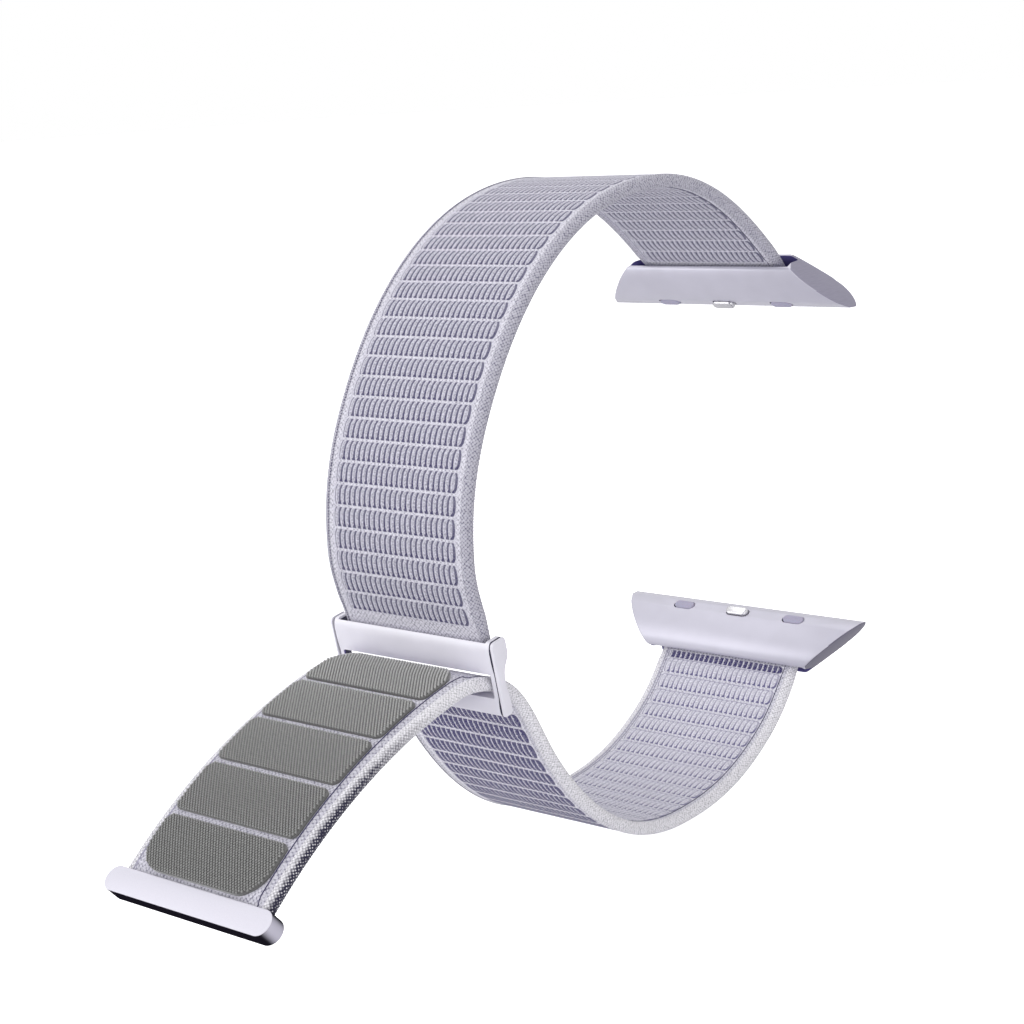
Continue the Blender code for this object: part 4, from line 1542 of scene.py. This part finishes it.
    def build(self) -> None:
        """Makes the lug's pieces and hangs them on the lug's body and the latch's."""
        plan, steel = self.layout, self.finishes.steel
        report(self.body(), self.name, "lug_resin", self.name + "_body")
        pin = in_place(rod(plan.pin_radius, self.pin_half), turned(plan.lug_pivot(self.flip), self.along, self.out))
        report(finished(self.name + "_cross_pin", pin, [steel]), self.name, "pin_steel", self.name + "_pin")
        report(self.spring(), self.name, "pin_steel", self.name + "_latch_spring")
        deep = self.grip_size[2] - plan.seat_gap
        for side, word in ((-1, "left"), (1, "right")):
            x, soft = side * self.grip_place, self.finishes.silicone
            pad = self.nub("grip_" + word, self.grip_size, self.grip_proud, deep, x, soft)
            report(pad, self.name, "grip_silicone", f"{self.name}_pad_{word}")
        nub = self.nub("latch_nub", self.latch_size, self.latch_proud, self.latch_size[2], 0.0, steel)
        report(nub, self.name.replace("lug", "latch"), "pin_steel", self.name + "_latch")


@dataclass
class Ring:
    """The frame that ends the upper band, with its pin."""

    layout: Layout
    finishes: Palette
    width: float = 0.0239
    softness: float = 0.00006
    outer_softness: float = 0.00028
    shrink: float = 0.65
    rim_steps: int = 5
    plate: float = 0.00060
    groove: float = 0.00024
    front_wall: float = 0.0006
    window_softness: float = 0.0002
    pin_grip: float = 0.0006
    overrun: float = 0.002
    back: tuple[Pair, ...] = (
        (0.25, 0.0), (0.33, 0.0), (0.50, 0.0), (0.70, 0.0), (0.82, 0.0), (0.90, 0.004), (0.96, 0.02), (0.99, 0.042),
        (1.00, 0.07), (1.00, 0.11), (1.00, 0.16), (0.985, 0.21), (0.93, 0.27), (0.80, 0.325), (0.66, 0.38),
        (0.56, 0.45), (0.52, 0.54), (0.54, 0.66), (0.60, 0.80), (0.62, 0.87), (0.62, 0.92), (0.61, 0.955),
        (0.57, 0.985), (0.50, 1.00),
    )
    front: tuple[Pair, ...] = (
        (0.42, 1.0), (0.28, 1.0), (0.18, 1.0), (0.10, 0.996), (0.03, 0.98), (0.0, 0.955), (0.0, 0.925), (0.0, 0.87),
        (0.0, 0.75), (0.0, 0.50), (0.0, 0.25), (0.0, 0.14), (0.0, 0.09), (0.005, 0.06), (0.04, 0.03), (0.10, 0.012),
        (0.17, 0.003),
    )
    bulged: tuple[Pair, ...] = (
        (0.42, 1.0), (0.32, 1.0), (0.22, 1.0), (0.14, 0.996), (0.07, 0.985), (0.025, 0.96), (0.005, 0.93),
        (0.00, 0.90), (0.00, 0.86), (0.015, 0.82), (0.035, 0.785), (0.055, 0.755), (0.06, 0.72), (0.06, 0.66),
        (0.06, 0.58), (0.06, 0.50), (0.06, 0.45), (0.055, 0.415), (0.035, 0.37), (0.015, 0.31), (0.00, 0.24),
        (0.00, 0.19), (0.00, 0.145), (0.012, 0.105), (0.04, 0.07), (0.085, 0.04), (0.14, 0.018), (0.19, 0.004),
    )

    def __post_init__(self) -> None:
        """Finds half of the window's width and half of the ring's."""
        self.half = self.layout.band_width / 2 + self.layout.window_side_gap
        self.end = self.width / 2

    def place(self, bm: BMesh, origin: Vector | None = None) -> BMesh:
        """Puts a mesh with x to the ring's back and y down its front in its place, from its corner on."""
        plan = self.layout
        start = plan.ring_corner if origin is None else origin
        return in_place(bm, turned(start, plan.ring_back, plan.ring_down))

    def body(self) -> Object:
        """Makes the frame and its two end plates, with the window and the channel for the band's eye."""
        plate, half, end = self.plate, self.half, self.end
        outline, shell = self.scaled((*self.back, *self.front)), self.scaled((*self.back, *self.bulged))
        depth, height = self.layout.ring_depth, self.layout.ring_height
        inner = [(a + self.groove * (1 - 2 * a / depth), b + self.groove * (1 - 2 * b / height)) for a, b in shell]
        bm = self.softened(shell, (plate - end, self.softness), (end - plate, self.softness))
        finishes = [self.finishes.ring, self.finishes.slot, self.finishes.parting]
        made = carved(finished("ring_shell", self.place(bm), finishes), map(self.place, self.cutters()))
        # The window's end walls take the darker lacquer painted with the shade inside the window.
        dress(made, 1, self.in_window)
        # The shell's ends by the plates take the dark lacquer painted with the shade in the grooves.
        dress(made, 2, lambda centre, normal: abs(normal.x) > 0.7 and abs(centre.x) > end - plate - self.softness)
        for side in (-1, 1):
            ends = [(side * end, self.outer_softness), (side * (end - plate + self.groove), self.softness)]
            join(made, self.place(self.softened(outline, *sorted(ends))))
            spacer = self.place(prism(inner, *sorted((side * (end - 2 * plate), side * (end - plate / 2)))))
            # The spacer in each groove takes the same painted shade.
            for face in spacer.faces:
                face.material_index = 2
            join(made, spacer)
        made.data.set_sharp_from_angle(angle=CREASE)
        return made

    def cutters(self) -> list[BMesh]:
        """Makes the cutters for the window, the channel and the pin's hole."""
        plan, half, over = self.layout, self.half, self.overrun
        top, foot, beyond = plan.window_top, plan.window_top + plan.window_height, plan.ring_depth + over
        window = prism([(-over, top), (beyond, top), (beyond, foot), (-over, foot)], -half, half)
        long_edges = [e for e in window.edges if abs(e.verts[0].co.x - e.verts[1].co.x) > over]
        soften(window, long_edges, self.window_softness)
        deep = plan.ring_pin[1] + plan.eye_radius + plan.run_gap
        wall, lip = self.front_wall, self.front_wall - plan.run_gap
        channel = [(lip, -over), (lip, 0), (wall, plan.ring_pin[1]), (wall, deep), (beyond, deep), (beyond, -over)]
        hole = rod(plan.pin_radius + plan.pin_fit, half + self.pin_grip + plan.seat_gap)
        bmesh.ops.translate(hole, vec=(*plan.ring_pin, 0), verts=hole.verts)
        return [window, prism(channel, -half, half), hole]

    def in_window(self, centre: Vector, normal: Vector) -> bool:
        """Says whether a face is an end wall of the window."""
        down = (centre - self.layout.ring_corner).dot(self.layout.ring_down)
        level = self.layout.window_top < down < self.layout.window_top + self.layout.window_height
        return level and abs(normal.x) > 0.9 and abs(centre.x) < self.half + self.softness

    def scaled(self, shares: Sequence[Pair]) -> list[Pair]:
        """Gives a smooth closed outline from shares of the ring's depth and height."""
        sized = [(a * self.layout.ring_depth, b * self.layout.ring_height) for a, b in shares]
        return smoothed([*sized, sized[0]], 2)[:-1]

    def softened(self, outline: Sequence[Pair], low: Pair, high: Pair) -> BMesh:
        """Draws an outline out and rounds the rims of both its ends, each given as its place and softness."""
        bm = prism(outline, low[0] + low[1], high[0] - high[1])
        caps = sorted(bm.faces, key=lambda face: len(face.verts))[-2:]
        for cap, softness, way in zip(sorted(caps, key=lambda face: face.normal.z), (low[1], high[1]), (-1, 1)):
            self.round_rim(bm, cap, softness, way)
        bmesh.ops.recalc_face_normals(bm, faces=bm.faces)
        return bm

    def round_rim(self, bm: BMesh, cap: BMFace, softness: float, way: int) -> None:
        """Draws a flat cap on in steps that shrink it, so that its rim becomes a quarter round.

        Args:
            bm: The mesh.
            cap: The cap, which faces along local z.
            softness: How far the cap moves out. Its rim moves in by a share of that.
            way: 1 for a cap that faces up local z, and -1 for one that faces down it.
        """
        flat = [loop.vert.co.copy() for loop in cap.loops]
        out = Vector((0, 0, way))
        around = zip([flat[-1], *flat], [*flat[1:], flat[0]])
        inward = [out.cross(after - before).normalized() for before, after in around]
        places = {tuple(loop.vert.co): n for n, loop in enumerate(cap.loops)}
        for i in range(1, self.rim_steps + 1):
            turn = i * QUARTER / self.rim_steps
            drawn = bmesh.ops.extrude_face_region(bm, geom=[cap], use_keep_orig=True)["geom"]
            bmesh.ops.delete(bm, geom=[cap], context="FACES_ONLY")
            cap = next(f for f in drawn if isinstance(f, BMFace))
            moved = {}
            for vert in cap.verts:
                n = places[tuple(vert.co)]
                shift = self.shrink * (1 - math.cos(turn)) * inward[n] + math.sin(turn) * out
                vert.co = flat[n] + softness * shift
                moved[tuple(vert.co)] = n
            places = moved

    def build(self) -> None:
        """Makes the ring's pieces and hangs them on its body."""
        report(self.body(), "ring", "ring_resin", "ring_frame")
        pin = self.place(rod(self.layout.pin_radius, self.half + self.pin_grip), self.layout.ring_pivot)
        report(finished("ring_cross_pin", pin, [self.finishes.steel]), "ring", "pin_steel", "ring_pin")


@dataclass
class HookPads:
    """The hook tape sewn on the tail in separate pads."""

    layout: Layout
    finishes: Palette
    count: int = 5
    length: float = 0.0062
    gap: float = 0.0007
    width: float = 0.0176
    thickness: float = 0.0008
    corner: float = 0.0008
    end_corner: float = 0.0032
    lead: float = 0.0004
    hook_pitch: float = 0.00040
    row_pitch: float = 0.00025
    hook_size: float = 0.00019
    hook_height: float = 0.00022
    stem_share: float = 0.5
    painted_light: float = 0.55
    painted_light_power: float = 1.6
    ground_shade: float = 0.75

    def __post_init__(self) -> None:
        """Finds how far under the tail's middle the tapes' backs and the hooks' tips lie."""
        self.bottom = self.layout.web / 2 + self.layout.seat_gap / 2
        self.tips = self.bottom + self.thickness

    def half_width(self, distance: float, corner: float) -> float:
        """Gives half of a pad's width at a distance from an end."""
        if distance >= corner:
            return self.width / 2
        inset = corner - max(distance, 0.0)
        return self.width / 2 - corner + math.sqrt(max(corner**2 - inset**2, 0.0))

    def slab(self, low: float, high: float, corners: Pair) -> BMesh:
        """Makes one pad's tape, flat, with round corners and its face at negative z."""
        first, last = corners
        turns = [1 - math.cos(i * math.pi / 16) for i in range(9)]
        edge = [low + first * t for t in turns] + [high - last * t for t in turns]
        middle = evenly(low + first, high - last, 10)[1:-1]
        bm = grid_of(evenly(-1, 1, 16), sorted(edge + middle))
        shade = bm.verts.layers.float.new("shade")
        foot = doubled(bm)
        for vert in bm.verts:
            share, s, _ = vert.co
            half = min(self.half_width(s - low, first), self.half_width(high - s, last))
            vert.co = (share * half, s, -self.bottom if vert in foot else self.hook_height - self.tips)
            # Painted shade: the tape between the stems is darkened for the shade under them.
            vert[shade] = self.ground_shade
        bmesh.ops.remove_doubles(bm, verts=bm.verts, dist=SAME)
        bmesh.ops.recalc_face_normals(bm, faces=bm.faces)
        return bm

    def hook(self) -> Mesh:
        """Makes one hook, a small stem that widens to a head."""
        bm = bmesh.new()
        bmesh.ops.create_cube(bm, size=1)
        stem = [v for v in bm.verts if v.co.z > 0]
        bmesh.ops.scale(bm, vec=(self.stem_share, self.stem_share, 1), verts=stem)
        bmesh.ops.scale(bm, vec=(self.hook_size, self.hook_size, self.hook_height), verts=bm.verts)
        return frozen("hook", bm)

    def pad(self, index: int) -> BMesh:
        """Makes one pad with all its hooks."""
        low = self.lead + index * (self.length + self.gap)
        high = low + self.length
        first = self.end_corner if index == 0 else self.corner
        last = self.end_corner if index == self.count - 1 else self.corner
        bm = bmesh.new()
        shade = bm.verts.layers.float.new("shade")
        hook, tape = self.hook(), frozen("tape", self.slab(low, high, (first, last)))
        rows = int(self.length / self.row_pitch)
        for i in range(rows):
            s = low + (i + 0.5) * self.length / rows
            half = min(self.half_width(s - low, first), self.half_width(high - s, last)) - self.hook_size / 2
            shift = (i % 2) / 2 * self.hook_pitch
            # Painted shade: the stems darken towards the tail's end, where the tail turns away from the light above.
            painted_shade = self.painted_light * (1 - (1 - s / self.layout.tail_length) ** self.painted_light_power)
            first_x = -math.floor((half + shift) / self.hook_pitch) * self.hook_pitch + shift
            for k in range(int((half - first_x) / self.hook_pitch) + 1):
                for vert in copied(bm, hook):
                    vert.co += Vector((first_x + k * self.hook_pitch, s, self.hook_height / 2 - self.tips))
                    vert[shade] = painted_shade
        bm.from_mesh(tape)
        for mesh in (tape, hook):
            bpy.data.meshes.remove(mesh)
        lay_flat_map(bm)
        return self.layout.tail.carry(bm, -1)

    def build(self) -> None:
        """Makes the pads and hangs them on the tail."""
        for i in range(self.count):
            made = finished(f"hook_tape_{i + 1}", self.pad(i), [self.finishes.hooks], math.radians(30))
            report(made, "tail", "hook_nylon", f"hook_pad_{i + 1}")


@dataclass
class EndBar:
    """The stadium bar across the tail's end."""

    layout: Layout
    finishes: Palette
    length: float = 0.0240
    width: float = 0.0028
    thickness: float = 0.0021
    softness: float = 0.00012
    bite: float = 0.0014
    overrun: float = 0.002
    crease: float = math.radians(30)
    painted_light: Pair = (0.55, 1.05)

    def build(self) -> None:
        """Makes the bar and hangs it on the tail."""
        plan, half = self.layout, self.thickness / 2
        point, heading = plan.tail.at(plan.tail_length - self.bite + self.width / 2)
        outward = toward(heading + QUARTER)
        place = turned(point, ACROSS, toward(heading), outward)
        bm = prism(stadium(self.length, self.width, 24), -half, half)
        soften(bm, rims(bm, -half, half), self.softness)
        finishes = [self.finishes.bar, self.finishes.bar_edge]
        made = finished("end_bar_shell", in_place(bm, place), finishes, self.crease)
        gap, wide = plan.piping / 2 + plan.seat_gap, plan.band_width / 2 + plan.seat_gap
        deep, far = self.bite + plan.seat_gap - self.width / 2, -self.width / 2 - self.overrun
        slot = prism([(-wide, far), (wide, far), (wide, deep), (-wide, deep)], -gap, gap)
        carved(made, [in_place(slot, place)], self.crease)
        # The edge takes the near-black finish, a painted dark reflection.
        dress(made, 1, lambda _, normal: abs(normal.dot(outward)) < 0.5)
        # Painted reflection: the edge pales where it turns across the strap at the round ends.
        shade = made.data.attributes.new("shade", "FLOAT", "POINT")
        for vert, held in zip(made.data.vertices, shade.data):
            held.value = eased(*self.painted_light, abs(vert.normal.x))
        report(made, "tail", "bar_alloy", "end_bar")


# The studio


@dataclass(frozen=True)
class SoftLight:
    """A rectangular soft light that points at a place."""

    name: str
    place: Trio
    size: Pair
    power: float
    colour: str = "#ffffff"

    def build(self, target: Vector) -> None:
        """Makes the lamp."""
        lamp = bpy.data.lights.new(self.name, "AREA")
        lamp.shape, lamp.size, lamp.size_y = "RECTANGLE", *self.size
        lamp.energy = self.power
        lamp.color = linear(self.colour)[:3]
        made = bpy.data.objects.new(self.name, lamp)
        made.location = self.place
        made.rotation_euler = (target - Vector(self.place)).to_track_quat("-Z", "Y").to_euler()
        bpy.context.scene.collection.objects.link(made)


@dataclass
class Studio:
    """The floor, which lies below the strap at every pose, the lights, the world and the camera."""

    finishes: Palette
    focal: float = 72.34
    sensor: float = 36.0
    near: float = 0.01
    place: Trio = (0.149274, -0.215497, 0.028496)
    yaw: float = math.radians(41.129)
    pitch: float = math.radians(11.595)
    roll: float = math.radians(-3.703)
    floor_z: float = -0.0666
    floor_half: float = 8.0
    sky: float = 0.5
    target: Trio = (0.0, -0.045, -0.02)
    lights: tuple[SoftLight, ...] = (
        SoftLight("overhead", (-0.10, -0.05, 0.55), (0.6, 0.6), 1.6),
        SoftLight("front_left", (-0.35, -0.48, 0.15), (0.4, 0.4), 1.15),
        SoftLight("front_right", (0.30, -0.45, 0.10), (0.4, 0.4), 0.7),
        SoftLight("right", (0.45, -0.02, 0.12), (0.3, 0.4), 0.2),
    )

    def camera(self) -> None:
        """Makes the camera at the photograph's angle."""
        forward = Vector((-math.sin(self.yaw), math.cos(self.yaw), 0)) * math.cos(self.pitch)
        forward.z = -math.sin(self.pitch)
        right = Vector((math.cos(self.yaw), math.sin(self.yaw), 0))
        tilt = Matrix.Rotation(self.roll, 3, -forward)
        lens = bpy.data.cameras.new("camera")
        lens.lens, lens.sensor_width, lens.clip_start = self.focal, self.sensor, self.near
        made = bpy.data.objects.new("camera", lens)
        made.matrix_world = turned(Vector(self.place), tilt @ right, tilt @ right.cross(forward), -forward)
        bpy.context.scene.collection.objects.link(made)
        bpy.context.scene.camera = made

    def world(self) -> None:
        """Lights the scene evenly, and shows the camera and reflections plain white."""
        made = bpy.data.worlds.new("studio")
        made.use_nodes = True
        bpy.context.scene.world = made
        tree = made.node_tree
        path = add(tree, "LightPath").outputs
        seen = path["Is Camera Ray"]
        for ray in ("Is Transmission Ray", "Is Glossy Ray"):
            seen = add(tree, "Math", {0: seen, 1: path[ray]}, operation="MAXIMUM").outputs[0]
        strength = add(tree, "MapRange", {"Value": seen, "To Min": self.sky, "To Max": 1.0})
        back = tree.nodes["Background"]
        back.inputs["Color"].default_value = linear("#ffffff")
        tree.links.new(strength.outputs[0], back.inputs["Strength"])

    def build(self) -> None:
        """Makes the studio."""
        self.camera()
        bm = bmesh.new()
        bmesh.ops.create_grid(bm, x_segments=1, y_segments=1, size=self.floor_half)
        bmesh.ops.translate(bm, vec=(0, 0, self.floor_z), verts=bm.verts)
        finished("floor", bm, [self.finishes.floor])
        for light in self.lights:
            light.build(Vector(self.target))
        self.world()
        bpy.context.scene.view_settings.view_transform = "Standard"


def main() -> None:
    """Builds the studio, the webbings and the fittings in order."""
    logging.basicConfig(level=logging.INFO, format="%(name)s: %(message)s")
    finishes, layout = Palette(), Layout()
    Studio(finishes).build()
    bands = Bands(layout, finishes)
    bands.upper()
    bands.lower()
    Ring(layout, finishes).build()
    Lug("upper_lug", layout, finishes, 1).build()
    Lug("lower_lug", layout, finishes, -1).build()
    HookPads(layout, finishes).build()
    EndBar(layout, finishes).build()


if __name__ == "__main__":
    main()
